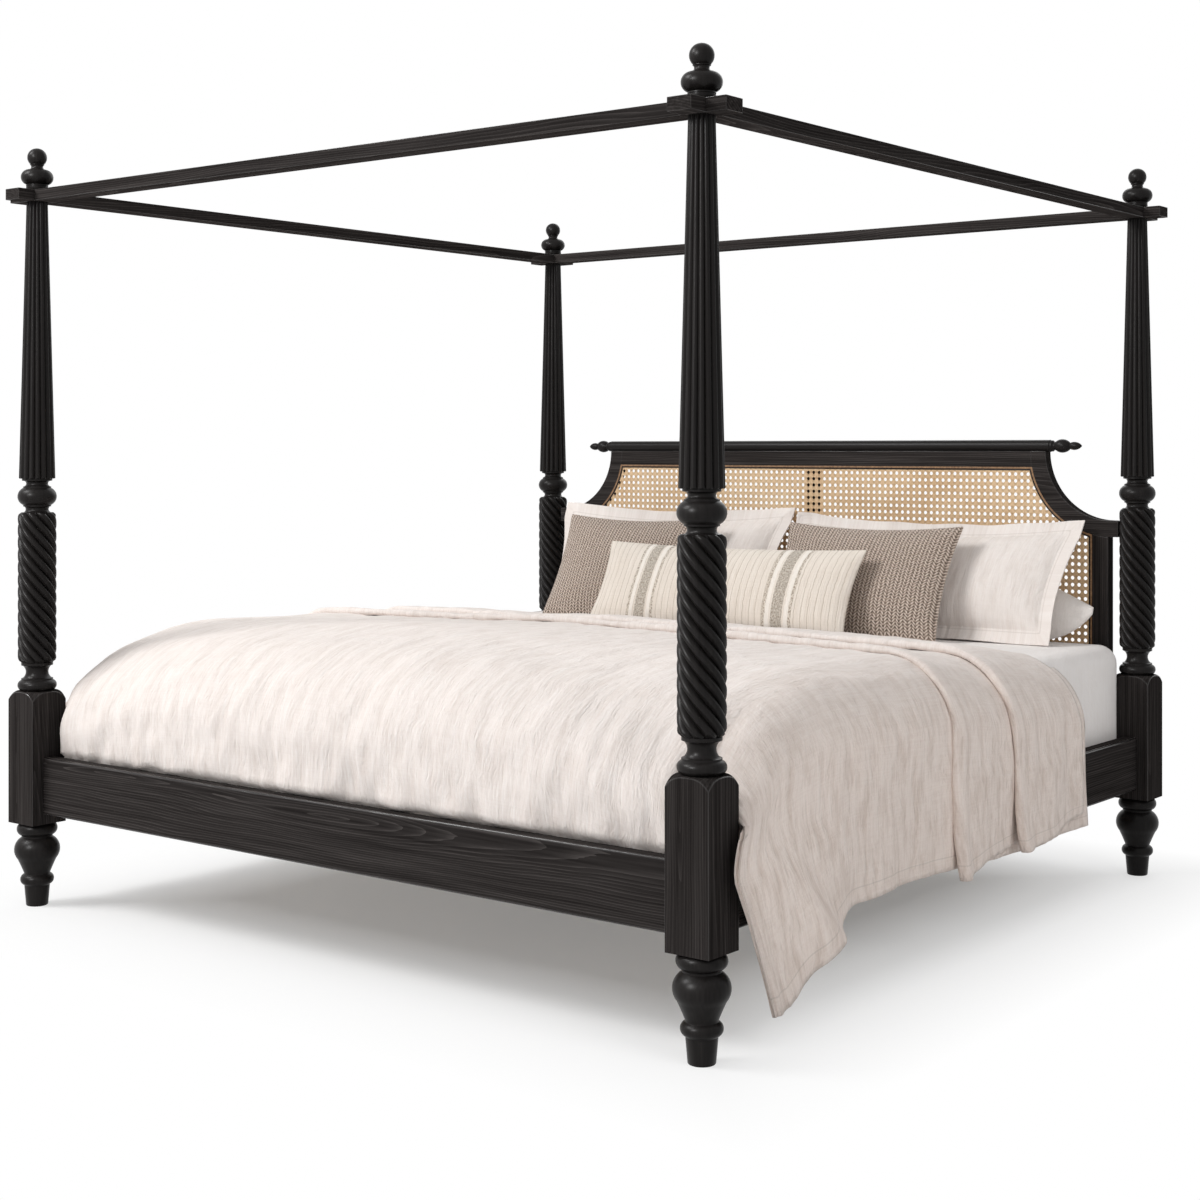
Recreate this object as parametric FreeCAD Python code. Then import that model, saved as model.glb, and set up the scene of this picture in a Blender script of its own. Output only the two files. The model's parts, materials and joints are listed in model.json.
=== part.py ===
import FreeCAD, Part
import math
import os
from FreeCAD import Vector

# Four-poster bed with rope-twist and reeded posts, flat canopy rails and a cane headboard.
# Millimetres, +Z up, origin on the floor under the middle of the bed, foot end towards -Y.

# Plan of the bed
post_spacing_x = 2160.0
post_spacing_y = 2160.0

# Turned foot, from the floor up
toe_low_d = 57.0
toe_top_d = 66.0
toe_h = 55.0
foot_ring_d = 87.0
foot_ring_root_d = 69.0
foot_ring_h = 29.0
vase_neck_d = 67.0
vase_neck_h = 2.0
vase_hollow_d = 80.0
vase_hollow_up = 18.0
vase_turn_d = 100.0
vase_turn_up = 40.0
vase_d = 118.0
vase_belly_up = 67.5
vase_top_d = 80.0
vase_h = 98.0
foot_fillet_d = 84.0
foot_fillet_h = 6.0
foot_bead_d = 105.0
foot_bead_h = 33.0

# Square block that takes the bed rails
block_side = 106.0
block_h = 350.0
block_edge = 2.0
pommel_top_d = 98.0
pommel_mid_d = 133.0
pommel_mid_drop = 8.75
pommel_drop = 25.0

# Rope-twist column, from the block up
bead_d = 101.0
bead_h = 28.0
cove_fillet_d = 82.0
cove_low_d = 74.0
cove_fillet_h = 4.0
cove_neck_d = 58.0
cove_neck_up = 21.5
cove_top_d = 76.0
cove_h = 39.0
collar_d = 82.0
collar_h = 8.0
strand_crest_d = 100.0
strand_valley_d = 86.0
strand_count = 9
strand_crest_from = 0.3
strand_crest_to = 0.7
twist_h = 398.0
twist_lead = 297.0
twist_step_deg = 28.0
twist_end_h = 14.0
twist_end_share = 0.88
upper_neck_low_d = 74.0
upper_neck_d = 58.0
upper_neck_top_d = 66.0
upper_neck_h = 16.0
ring_collar_d = 72.0
ring_collar_h = 4.0
ring_d = 101.0
ring_h = 45.0
tenon_d = 44.0
tenon_l = 70.0

# Reeded upper column
reed_neck_low_d = 64.0
reed_neck_d = 56.0
reed_neck_top_d = 66.0
reed_neck_h = 15.0
reed_fillet_d = 78.0
reed_fillet_h = 6.0
reed_low_d = 94.0
reed_top_d = 55.0
reed_count = 16
reed_h = 736.0
reed_valley_share = 0.9

# Canopy rails, laid flat and half-lapped over the posts
canopy_rail_w = 58.0
canopy_rail_t = 29.0
canopy_overhang = 49.0

# Finial and the steel pin that drops through the rails into the post
finial_collar_d = 57.0
finial_collar_h = 17.0
finial_bulb_d = 84.0
finial_bulb_h = 42.0
finial_bulb_up = 19.0
finial_shoulder_d = 45.0
finial_neck_d = 31.0
finial_neck_h = 11.0
finial_neck_up = 6.5
ball_seat_d = 35.0
ball_d = 51.0
ball_tip_d = 1.0
pin_d = 12.0
pin_in_finial = 40.0
pin_in_post = 60.0

# Steel studs that join the turned pieces
stud_d = 16.0
stud_half_l = 60.0

# Bed rails
rail_t = 40.0
rail_h = 150.0
rail_above_foot = 27.0
rail_edge_r = 3.0

# Steel angles that hold the rails to the blocks
angle_t = 4.0
angle_leg_rail = 62.0
angle_leg_block = 30.0
angle_h = 90.0
angle_hole_rail = 38.0
angle_hole_block = 18.5
screw_head_af = 13.0
screw_head_h = 5.0
screw_d = 8.0
screw_l = 30.0

# Slatted base
ledger_w = 30.0
ledger_h = 30.0
ledger_drop = 78.0
ledger_end_gap = 70.0
slat_count = 13
slat_w = 90.0
slat_t = 20.0
slat_end_gap = 4.0
beam_w = 60.0
beam_h = 70.0
leg_side = 50.0
leg_places = (-200.0, 500.0)

# Headboard frame
board_t = 36.0
band_w = 47.0
sweep_r = 200.0
stile_w = 49.0
stile_gap = 27.0
sweep_past_stile = 6.0
top_rail_h = 47.0
bottom_rail_h = 60.0
bottom_rail_rise = 162.0
board_rise = 636.0
roll_d = 36.0
roll_flat = 3.0
roll_past_band = 11.0
muntin_w = 56.0
muntin_t = 24.0

# Turned ends of the headboard roll
acorn_band_d = 32.0
acorn_band_h = 7.0
acorn_neck_d = 26.0
acorn_neck_top_d = 34.0
acorn_neck_h = 12.0
acorn_bulb_d = 40.0
acorn_bulb_up = 17.0
acorn_bulb_h = 40.0
acorn_tip_neck_d = 18.0
acorn_tip_d = 24.0
acorn_tip_up = 15.0
acorn_tip_end_d = 4.0
acorn_tip_h = 36.0
acorn_spigot_d = 12.0
acorn_spigot_l = 25.0

# Cane sheet and the reed spline that holds its edge
cane_t = 3.0
cane_pitch = 76.0
cane_gap = 44.0
cane_margin = 16.0
spline_w = 5.0
spline_t = 4.0

# Mattress and bedding
mattress_side_gap = 7.0
mattress_foot_gap = 80.0
mattress_t = 315.0
mattress_r = 55.0
duvet_t = 58.0
duvet_crown = 28.0
duvet_bend = 90.0
duvet_edge_in = 54.0
duvet_head_room = 532.0
duvet_head_t = 34.0
duvet_head_crown = 8.0
duvet_thins_from = 5
drape_t = 24.0
drape_foot_gap = 30.0
drape_out = 6.0
fold_depth = 14.0
foot_tuck_room = 16.0
foot_tuck_in = 20.0
foot_join = 40.0
foot_crown_share = 1.4
foot_sections = 9

# Hem height above the floor at even steps from the foot end to the head end of the drape
hem_right = (
    120.0, 84.0, 150.0, 205.0, 228.0, 226.0, 226.0,
    224.0, 220.0, 205.0, 192.0, 196.0, 204.0, 213.0,
)
hem_left = (
    190.0, 196.0, 205.0, 212.0, 218.0, 222.0, 224.0,
    224.0, 220.0, 214.0, 208.0, 206.0, 208.0, 213.0,
)

# Loose bedding against the headboard; a lean is in degrees from upright
sham_side_room = 55.0
sham_middle_room = 35.0
sham_right_shift = 50.0
sham_h = 410.0
sham_depth = 110.0
sham_draw_in = 14.0
sham_left_lean = 22.0
sham_right_lean = 26.0
pillow_w = 560.0
pillow_h = 190.0
pillow_depth = 80.0
pillow_draw_in = 10.0
pillow_side_room = 50.0
pillow_lean = 6.0
crown_share = 0.42
shoulder_share = 0.76
shoulder_depth = 0.72
cushion_w = 600.0
cushion_h = 370.0
cushion_depth = 110.0
cushion_draw_in = 16.0
cushion_left_x = -560.0
cushion_left_lean = 26.0
cushion_right_x = 330.0
cushion_right_lean = 28.0
lumbar_w = 950.0
lumbar_h = 290.0
lumbar_depth = 110.0
lumbar_draw_in = 12.0
lumbar_x = -80.0
lumbar_lean = 28.0
settle_run = 700.0
settle_steps = 40
settle_done = 0.02

# Clearances, and how far a cutting shape runs past what it cuts
cut_margin = 2.0
glue_gap = 0.1
pin_gap = 0.3
seat_gap = 0.2
rest_gap = 0.3

# Levels worked out from the sizes above
block_z = toe_h + foot_ring_h + vase_h + foot_fillet_h + foot_bead_h
column_z = block_z + block_h
twist_z = column_z + bead_h + cove_h + collar_h
ring_z = twist_z + twist_h + upper_neck_h
upper_z = ring_z + 2 * ring_collar_h + ring_h
reed_z = upper_z + reed_neck_h + reed_fillet_h
canopy_z = reed_z + reed_h
finial_z = canopy_z + canopy_rail_t
rail_bottom = block_z + rail_above_foot
rail_top = rail_bottom + rail_h
slat_z = rail_top - ledger_drop
mattress_z = slat_z + slat_t
mattress_top = mattress_z + mattress_t
half_x = post_spacing_x / 2
half_y = post_spacing_y / 2
rail_half_x = half_x - block_side / 2
rail_half_y = half_y - block_side / 2
rail_face_x = half_x - rail_t / 2
rail_face_y = half_y - rail_t / 2
board_front = half_y - board_t / 2
board_back = half_y + board_t / 2
board_top = column_z + board_rise
bottom_rail_z = rail_top + bottom_rail_rise
mattress_half_x = rail_half_x - mattress_side_gap
mattress_head_y = min(board_front, rail_face_y) - rest_gap
mattress_foot_y = mattress_foot_gap - rail_face_y

sham_w = mattress_half_x - sham_side_room - sham_middle_room
sham_x = sham_middle_room + sham_w / 2

# Each loose piece with its size, its place along X and what it leans on, from the headboard forwards
bedding = {
    "pillow_right": {
        "width": pillow_w,
        "height": pillow_h,
        "depth": pillow_depth,
        "draw_in": pillow_draw_in,
        "lean": pillow_lean,
        "x": mattress_half_x - pillow_side_room - pillow_w / 2,
        "behind": (),
    },
    "sham_left": {
        "width": sham_w,
        "height": sham_h,
        "depth": sham_depth,
        "draw_in": sham_draw_in,
        "lean": sham_left_lean,
        "x": -sham_x,
        "behind": (),
    },
    "sham_right": {
        "width": sham_w,
        "height": sham_h,
        "depth": sham_depth,
        "draw_in": sham_draw_in,
        "lean": sham_right_lean,
        "x": sham_x - sham_right_shift,
        "behind": ("pillow_right",),
    },
    "cushion_left": {
        "width": cushion_w,
        "height": cushion_h,
        "depth": cushion_depth,
        "draw_in": cushion_draw_in,
        "lean": cushion_left_lean,
        "x": cushion_left_x,
        "behind": ("sham_left", "sham_right"),
    },
    "cushion_right": {
        "width": cushion_w,
        "height": cushion_h,
        "depth": cushion_depth,
        "draw_in": cushion_draw_in,
        "lean": cushion_right_lean,
        "x": cushion_right_x,
        "behind": ("sham_left", "sham_right"),
    },
    "lumbar_cushion": {
        "width": lumbar_w,
        "height": lumbar_h,
        "depth": lumbar_depth,
        "draw_in": lumbar_draw_in,
        "lean": lumbar_lean,
        "x": lumbar_x,
        "behind": ("cushion_left", "cushion_right", "sham_left", "sham_right"),
    },
}

corners = {
    "foot_left": (-half_x, -half_y),
    "foot_right": (half_x, -half_y),
    "head_left": (-half_x, half_y),
    "head_right": (half_x, half_y),
}


def line(a, b):
    return Part.LineSegment(a, b).toShape()


def arc(a, b, c):
    return Part.Arc(a, b, c).toShape()


def lathe(steps):
    # Each step is (radius, height), or (middle radius, middle height, radius, height) for an arc.
    here = Vector(steps[0][0], 0, steps[0][1])
    start = Vector(0, 0, here.z)
    edges = [line(start, here)]
    for step in steps[1:]:
        there = Vector(step[-2], 0, step[-1])
        if len(step) == 2:
            edges.append(line(here, there))
        else:
            edges.append(arc(here, Vector(step[0], 0, step[1]), there))
        here = there
    top = Vector(0, 0, here.z)
    edges.append(line(here, top))
    edges.append(line(top, start))
    return Part.Face(Part.Wire(edges)).revolve(Vector(0, 0, 0), Vector(0, 0, 1), 360)


def rod(diameter, low, high):
    return Part.makeCylinder(diameter / 2, high - low, Vector(0, 0, low))


def box(low, high):
    return Part.makeBox(high[0] - low[0], high[1] - low[1], high[2] - low[2], Vector(*low))


def rounded_bar(low, high, along, radius):
    # A bar with its four long edges rounded; along is 0 for X and 1 for Y.
    bar = box(low, high)
    span = high[along] - low[along]
    long_edges = []
    for edge in bar.Edges:
        way = edge.Vertexes[1].Point - edge.Vertexes[0].Point
        if abs(abs((way.x, way.y)[along]) - span) < 1e-6:
            long_edges.append(edge)
    return bar.makeFillet(radius, long_edges)


def bead_steps(z, height, bead, root):
    # A half-round bead from a root diameter out to its crest and back.
    return [(root / 2, z), (bead / 2, z + height / 2, root / 2, z + height)]


def foot():
    vase_z = toe_h + foot_ring_h
    bead_z = vase_z + vase_h + foot_fillet_h
    steps = [(toe_low_d / 2, 0), (toe_top_d / 2, toe_h)]
    steps += bead_steps(toe_h, foot_ring_h, foot_ring_d, foot_ring_root_d)
    steps += [
        (vase_neck_d / 2, vase_z + vase_neck_h),
        (vase_hollow_d / 2, vase_z + vase_hollow_up, vase_turn_d / 2, vase_z + vase_turn_up),
        (vase_d / 2, vase_z + vase_belly_up, vase_top_d / 2, vase_z + vase_h),
    ]
    steps += bead_steps(bead_z, foot_bead_h, foot_bead_d, foot_fillet_d)
    body = lathe(steps)
    return body.cut(rod(stud_d + 2 * glue_gap, block_z - stud_half_l, block_z))


def block():
    half = block_side / 2
    body = box((-half, -half, block_z), (half, half, column_z))
    upright = [e for e in body.Edges if abs(e.Vertexes[0].Z - e.Vertexes[1].Z) > 1]
    body = body.makeChamfer(block_edge, upright)
    far = half * math.sqrt(2)
    shoulder = lathe([
        (far + cut_margin, block_z - cut_margin),
        (far + cut_margin, column_z - pommel_drop),
        (pommel_mid_d / 2, column_z - pommel_mid_drop, pommel_top_d / 2, column_z),
    ])
    body = body.common(shoulder)
    body = body.cut(rod(stud_d + 2 * glue_gap, block_z, block_z + stud_half_l))
    return body.cut(rod(tenon_d + 2 * glue_gap, column_z - tenon_l, column_z))


def strand_ring(z, turn_deg, share):
    # One level of the rope: every strand is a valley and a flat-topped crest.
    points = []
    pitch = 2 * math.pi / strand_count
    for strand in range(strand_count):
        for place, diameter in (
            (0, strand_valley_d),
            (strand_crest_from, strand_crest_d),
            (strand_crest_to, strand_crest_d),
        ):
            angle = math.radians(turn_deg) + (strand + place) * pitch
            radius = share * diameter / 2
            points.append(Vector(radius * math.cos(angle), radius * math.sin(angle), z))
    return Part.makePolygon(points + points[:1])


def rope_twist():
    steps = math.ceil(360 * (twist_h - 2 * twist_end_h) / twist_lead / twist_step_deg)
    levels = [(0.0, twist_end_share)]
    for i in range(steps + 1):
        levels.append((twist_end_h + (twist_h - 2 * twist_end_h) * i / steps, 1.0))
    levels.append((twist_h, twist_end_share))
    # The strands climb to the left, so the rings turn backwards going up.
    rings = [strand_ring(twist_z + z, -360 * z / twist_lead, share) for z, share in levels]
    return Part.makeLoft(rings, True, True)


def twist_column():
    cove_z = column_z + bead_h
    collar_z = cove_z + cove_h
    low = lathe(
        [(tenon_d / 2, column_z - tenon_l), (tenon_d / 2, column_z)]
        + bead_steps(column_z, bead_h, bead_d, cove_fillet_d)
        + [
            (cove_fillet_d / 2, cove_z + cove_fillet_h),
            (cove_low_d / 2, cove_z + cove_fillet_h),
            (cove_neck_d / 2, cove_z + cove_neck_up, cove_top_d / 2, collar_z),
            (collar_d / 2, collar_z),
            (collar_d / 2, collar_z + collar_h),
        ]
    )
    neck_z = twist_z + twist_h
    bulb_z = ring_z + ring_collar_h
    high = lathe(
        [
            (upper_neck_low_d / 2, neck_z),
            (upper_neck_d / 2, neck_z + upper_neck_h / 2, upper_neck_top_d / 2, ring_z),
            (ring_collar_d / 2, ring_z),
        ]
        + bead_steps(bulb_z, ring_h, ring_d, ring_collar_d)
        + [(ring_collar_d / 2, upper_z)]
    )
    body = low.fuse([rope_twist(), high]).removeSplitter()
    return body.cut(rod(stud_d + 2 * glue_gap, upper_z - stud_half_l, upper_z))


def reed_ring(z, diameter):
    edges = []
    pitch = 2 * math.pi / reed_count
    valley = diameter / 2 * reed_valley_share

    def point(radius, turn):
        return Vector(radius * math.cos(turn), radius * math.sin(turn), z)

    for reed in range(reed_count):
        turn = reed * pitch
        crest = point(diameter / 2, turn + pitch / 2)
        edges.append(arc(point(valley, turn), crest, point(valley, turn + pitch)))
    return Part.Wire(edges)


def reeded_column():
    fillet_z = upper_z + reed_neck_h
    neck = lathe([
        (reed_neck_low_d / 2, upper_z),
        (reed_neck_d / 2, upper_z + reed_neck_h / 2, reed_neck_top_d / 2, fillet_z),
        (reed_fillet_d / 2, fillet_z),
        (reed_fillet_d / 2, reed_z),
    ])
    shaft = Part.makeLoft([reed_ring(reed_z, reed_low_d), reed_ring(canopy_z, reed_top_d)], True, True)
    body = neck.fuse(shaft)
    body = body.cut(rod(stud_d + 2 * glue_gap, upper_z, upper_z + stud_half_l))
    return body.cut(rod(pin_d + 2 * pin_gap, canopy_z - pin_in_post - pin_gap, canopy_z))


def finial():
    bulb_z = finial_z + finial_collar_h
    shoulder_z = bulb_z + finial_bulb_h
    ball_low = shoulder_z + finial_neck_h
    ball_r = ball_d / 2
    seat_r = ball_seat_d / 2
    tip_r = ball_tip_d / 2
    centre_z = ball_low + math.sqrt(ball_r ** 2 - seat_r ** 2)
    steps = [
        (finial_collar_d / 2, finial_z),
        (finial_collar_d / 2, bulb_z),
        (finial_bulb_d / 2, bulb_z + finial_bulb_up, finial_shoulder_d / 2, shoulder_z),
        (finial_neck_d / 2, shoulder_z + finial_neck_up, seat_r, ball_low),
        (ball_r, centre_z, tip_r, centre_z + math.sqrt(ball_r ** 2 - tip_r ** 2)),
    ]
    return lathe(steps).cut(rod(pin_d + 2 * glue_gap, finial_z, finial_z + pin_in_finial))


def finial_pin():
    return rod(pin_d, canopy_z - pin_in_post, finial_z + pin_in_finial - glue_gap)


def canopy_rail(along, side):
    # along is 0 for the foot and head rails and 1 for the two side rails.
    half_w = canopy_rail_w / 2
    reach = (half_x, half_y)[along] + half_w + canopy_overhang
    across = side * (half_y, half_x)[along]
    low = [0, 0, canopy_z]
    high = [0, 0, finial_z]
    low[along], high[along] = -reach, reach
    low[1 - along], high[1 - along] = across - half_w, across + half_w
    rail = box(low, high)
    lap_mid = canopy_z + canopy_rail_t / 2
    lap_z = (lap_mid, finial_z) if along == 0 else (canopy_z, lap_mid)
    for end in (-1, 1):
        place = end * (half_x, half_y)[along]
        notch_low = list(low)
        notch_high = list(high)
        notch_low[along], notch_high[along] = place - half_w, place + half_w
        notch_low[2], notch_high[2] = lap_z
        rail = rail.cut(box(notch_low, notch_high))
        hole = rod(pin_d + 2 * pin_gap, canopy_z, finial_z)
        hole.translate(Vector(place, across, 0) if along == 0 else Vector(across, place, 0))
        rail = rail.cut(hole)
    return rail


def bed_rail(along, side):
    across = side * (half_y, half_x)[along]
    reach = (rail_half_x, rail_half_y)[along]
    low = [0, 0, rail_bottom]
    high = [0, 0, rail_top]
    low[along], high[along] = -reach, reach
    low[1 - along], high[1 - along] = across - rail_t / 2, across + rail_t / 2
    return rounded_bar(low, high, along, rail_edge_r)


def hex_screw(base, way):
    # A hexagon-head screw: its head sits on base and its shank runs along way.
    corner_r = screw_head_af / math.sqrt(3)
    ring = []
    for i in range(7):
        turn = i * math.pi / 3
        ring.append(Vector(corner_r * math.cos(turn), corner_r * math.sin(turn), 0))
    head = Part.Face(Part.makePolygon(ring)).extrude(Vector(0, 0, -screw_head_h))
    screw = head.fuse(Part.makeCylinder(screw_d / 2, screw_l))
    screw.Placement = FreeCAD.Placement(base, FreeCAD.Rotation(Vector(0, 0, 1), way))
    return screw


def rail_angle(along, sx, sy):
    # An angle in the corner between the inner face of a rail and the face of a block, and its two screws.
    mid_z = rail_bottom + rail_h / 2
    low_z = mid_z - angle_h / 2
    high_z = mid_z + angle_h / 2
    signs = (sx, sy)
    end = signs[along] * (rail_half_x, rail_half_y)[along]
    face = signs[1 - along] * (rail_face_y, rail_face_x)[along]

    def plate(length_along, length_across):
        ends = sorted((end, end - signs[along] * length_along))
        sides = sorted((face, face - signs[1 - along] * length_across))
        low = [0, 0, low_z]
        high = [0, 0, high_z]
        low[along], high[along] = ends
        low[1 - along], high[1 - along] = sides
        return box(low, high)

    angle = plate(angle_leg_rail, angle_t).fuse(plate(angle_t, angle_leg_block)).removeSplitter()
    rail_base = [0, 0, mid_z]
    rail_base[along] = end - signs[along] * angle_hole_rail
    rail_base[1 - along] = face - signs[1 - along] * angle_t
    rail_way = [0, 0, 0]
    rail_way[1 - along] = signs[1 - along]
    block_base = [0, 0, mid_z]
    block_base[along] = end - signs[along] * angle_t
    block_base[1 - along] = face - signs[1 - along] * angle_hole_block
    block_way = [0, 0, 0]
    block_way[along] = signs[along]
    screws = []
    holes = []
    for base, way in ((rail_base, rail_way), (block_base, block_way)):
        start = Vector(*base)
        axis = Vector(*way)
        screws.append(hex_screw(start, axis))
        holes.append(Part.makeCylinder(screw_d / 2 + glue_gap, screw_l + glue_gap, start, axis))
    return angle.cut(holes), screws, holes


def ledger(side):
    low_x, high_x = sorted((side * rail_face_x, side * (rail_face_x - ledger_w)))
    reach = rail_half_y - ledger_end_gap
    return box((low_x, -reach, slat_z - ledger_h), (high_x, reach, slat_z))


def slats():
    reach_x = rail_face_x - slat_end_gap
    reach_y = rail_half_y - ledger_end_gap - slat_w / 2
    made = []
    for i in range(slat_count):
        y = -reach_y + 2 * reach_y * i / (slat_count - 1)
        made.append(box((-reach_x, y - slat_w / 2, slat_z), (reach_x, y + slat_w / 2, slat_z + slat_t)))
    return made


def centre_beam():
    return box((-beam_w / 2, -rail_face_y, slat_z - beam_h), (beam_w / 2, rail_face_y, slat_z))


def centre_leg(y):
    half = leg_side / 2
    return box((-half, y - half, 0), (half, y + half, slat_z - beam_h))


# Headboard outline: a band sweeps down in a quarter circle to each post
stile_out_x = half_x - block_side / 2 - stile_gap
stile_in_x = stile_out_x - stile_w
sweep_x = stile_out_x + sweep_past_stile
sweep_z = board_top
band_r = sweep_r + band_w


def sweep_cylinder(side, radius):
    centre = Vector(side * sweep_x, board_front - cut_margin, sweep_z)
    return Part.makeCylinder(radius, board_t + 2 * cut_margin, centre, Vector(0, 1, 0))


def headboard_bracket(side):
    end_x = half_x - strand_crest_d / 2 - rest_gap
    slant = math.sqrt(0.5)

    def point(x, z):
        return Vector(side * x, board_front, z)

    edges = [
        arc(
            point(sweep_x - sweep_r, sweep_z),
            point(sweep_x - sweep_r * slant, sweep_z - sweep_r * slant),
            point(sweep_x, sweep_z - sweep_r),
        ),
        line(point(sweep_x, sweep_z - sweep_r), point(end_x, sweep_z - sweep_r)),
        line(point(end_x, sweep_z - sweep_r), point(end_x, sweep_z - band_r)),
        line(point(end_x, sweep_z - band_r), point(sweep_x, sweep_z - band_r)),
        arc(
            point(sweep_x, sweep_z - band_r),
            point(sweep_x - band_r * slant, sweep_z - band_r * slant),
            point(sweep_x - band_r, sweep_z),
        ),
        line(point(sweep_x - band_r, sweep_z), point(sweep_x - sweep_r, sweep_z)),
    ]
    return Part.Face(Part.Wire(edges)).extrude(Vector(0, board_t, 0))


def headboard_stile(side):
    low_x, high_x = sorted((side * stile_in_x, side * stile_out_x))
    stile = box((low_x, board_front, rail_top), (high_x, board_back, sweep_z - sweep_r))
    return stile.cut(sweep_cylinder(side, band_r + glue_gap))


def headboard_top_rail():
    reach = sweep_x - sweep_r
    rail = box((-reach, board_front, board_top - top_rail_h), (reach, board_back, board_top))
    return rail.cut([sweep_cylinder(-1, band_r + glue_gap), sweep_cylinder(1, band_r + glue_gap)])


def headboard_bottom_rail():
    return box(
        (-stile_in_x, board_front, bottom_rail_z),
        (stile_in_x, board_back, bottom_rail_z + bottom_rail_h),
    )


def turned_along_x(shape, x):
    shape.rotate(Vector(0, 0, 0), Vector(0, 1, 0), 90 if x > 0 else -90)
    shape.translate(Vector(x, half_y, board_top + roll_d / 2 - roll_flat))
    return shape


roll_reach = sweep_x - sweep_r + roll_past_band


def headboard_roll():
    roll = turned_along_x(rod(roll_d, -2 * roll_reach, 0), roll_reach)
    below = box((-roll_reach, half_y - roll_d, board_top - roll_d), (roll_reach, half_y + roll_d, board_top))
    roll = roll.cut(below)
    for side in (-1, 1):
        bore = rod(acorn_spigot_d + 2 * glue_gap, -acorn_spigot_l - glue_gap, 0)
        roll = roll.cut(turned_along_x(bore, side * roll_reach))
    return roll


def roll_acorn(side):
    neck_z = acorn_band_h
    bulb_z = neck_z + acorn_neck_h
    tip_z = bulb_z + acorn_bulb_h
    spigot = rod(acorn_spigot_d, -acorn_spigot_l, acorn_band_h)
    turned = lathe([
        (acorn_band_d / 2, 0),
        (acorn_band_d / 2, acorn_band_h),
        (acorn_neck_d / 2, neck_z + acorn_neck_h / 2, acorn_neck_top_d / 2, bulb_z),
        (acorn_bulb_d / 2, bulb_z + acorn_bulb_up, acorn_tip_neck_d / 2, tip_z),
        (acorn_tip_d / 2, tip_z + acorn_tip_up, acorn_tip_end_d / 2, tip_z + acorn_tip_h),
    ])
    return turned_along_x(turned.fuse(spigot), side * roll_reach)


def muntin():
    y = board_front + spline_t + cane_t
    return box(
        (-muntin_w / 2, y, bottom_rail_z + bottom_rail_h),
        (muntin_w / 2, y + muntin_t, board_top - top_rail_h),
    )


def panel_wire(inset, y):
    # The opening of the headboard frame, drawn inside by inset.
    radius = band_r + glue_gap + inset
    side_x = stile_in_x - inset
    low_z = bottom_rail_z + bottom_rail_h + inset
    high_z = board_top - top_rail_h - inset
    side_z = sweep_z - math.sqrt(radius ** 2 - (sweep_x - side_x) ** 2)
    high_x = sweep_x - math.sqrt(radius ** 2 - (sweep_z - high_z) ** 2)
    # Both ends of the swept arc are below and to the left of its centre.
    side_turn = math.atan2(sweep_z - side_z, sweep_x - side_x)
    high_turn = math.atan2(sweep_z - high_z, sweep_x - high_x)
    middle = (side_turn + high_turn) / 2
    mid_x = sweep_x - radius * math.cos(middle)
    mid_z = sweep_z - radius * math.sin(middle)

    def point(x, z):
        return Vector(x, y, z)

    edges = [
        line(point(-side_x, low_z), point(side_x, low_z)),
        line(point(side_x, low_z), point(side_x, side_z)),
        arc(point(side_x, side_z), point(mid_x, mid_z), point(high_x, high_z)),
        line(point(high_x, high_z), point(-high_x, high_z)),
        arc(point(-high_x, high_z), point(-mid_x, mid_z), point(-side_x, side_z)),
        line(point(-side_x, side_z), point(-side_x, low_z)),
    ]
    return Part.Wire(edges)


def inside_panel(x, z, room):
    # True where a point keeps that room from the edge of the opening.
    low_z = bottom_rail_z + bottom_rail_h + room
    high_z = board_top - top_rail_h - room
    if abs(x) > stile_in_x - room or not low_z <= z <= high_z:
        return False
    return math.hypot(abs(x) - sweep_x, z - sweep_z) > band_r + room


def cane_panel():
    y = board_front + spline_t
    half = cane_gap / 2
    room = half * math.sqrt(2) + cane_margin
    gap_corners = ((-1, 0), (0, -1), (1, 0), (0, 1))
    wires = [panel_wire(seat_gap, y)]
    columns = math.ceil(stile_in_x / cane_pitch)
    rows = math.ceil(board_top / cane_pitch)
    base_z = bottom_rail_z + bottom_rail_h + room
    for column in range(-columns, columns + 1):
        for row in range(rows):
            x = column * cane_pitch
            z = base_z + row * cane_pitch
            if inside_panel(x, z, room):
                gap = [Vector(x + half * way_x, y, z + half * way_z) for way_x, way_z in gap_corners]
                wires.append(Part.makePolygon(gap + gap[:1]))
    net = Part.makeFace(wires, "Part::FaceMakerBullseye")
    return net.extrude(Vector(0, cane_t, 0))


def cane_spline():
    outer = Part.Face(panel_wire(seat_gap, board_front))
    inner = Part.Face(panel_wire(seat_gap + spline_w, board_front))
    return outer.cut(inner).extrude(Vector(0, spline_t, 0))


def mattress():
    body = box(
        (-mattress_half_x, mattress_foot_y, mattress_z),
        (mattress_half_x, mattress_head_y, mattress_top),
    )
    return body.makeFillet(mattress_r, body.Edges)


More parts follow.
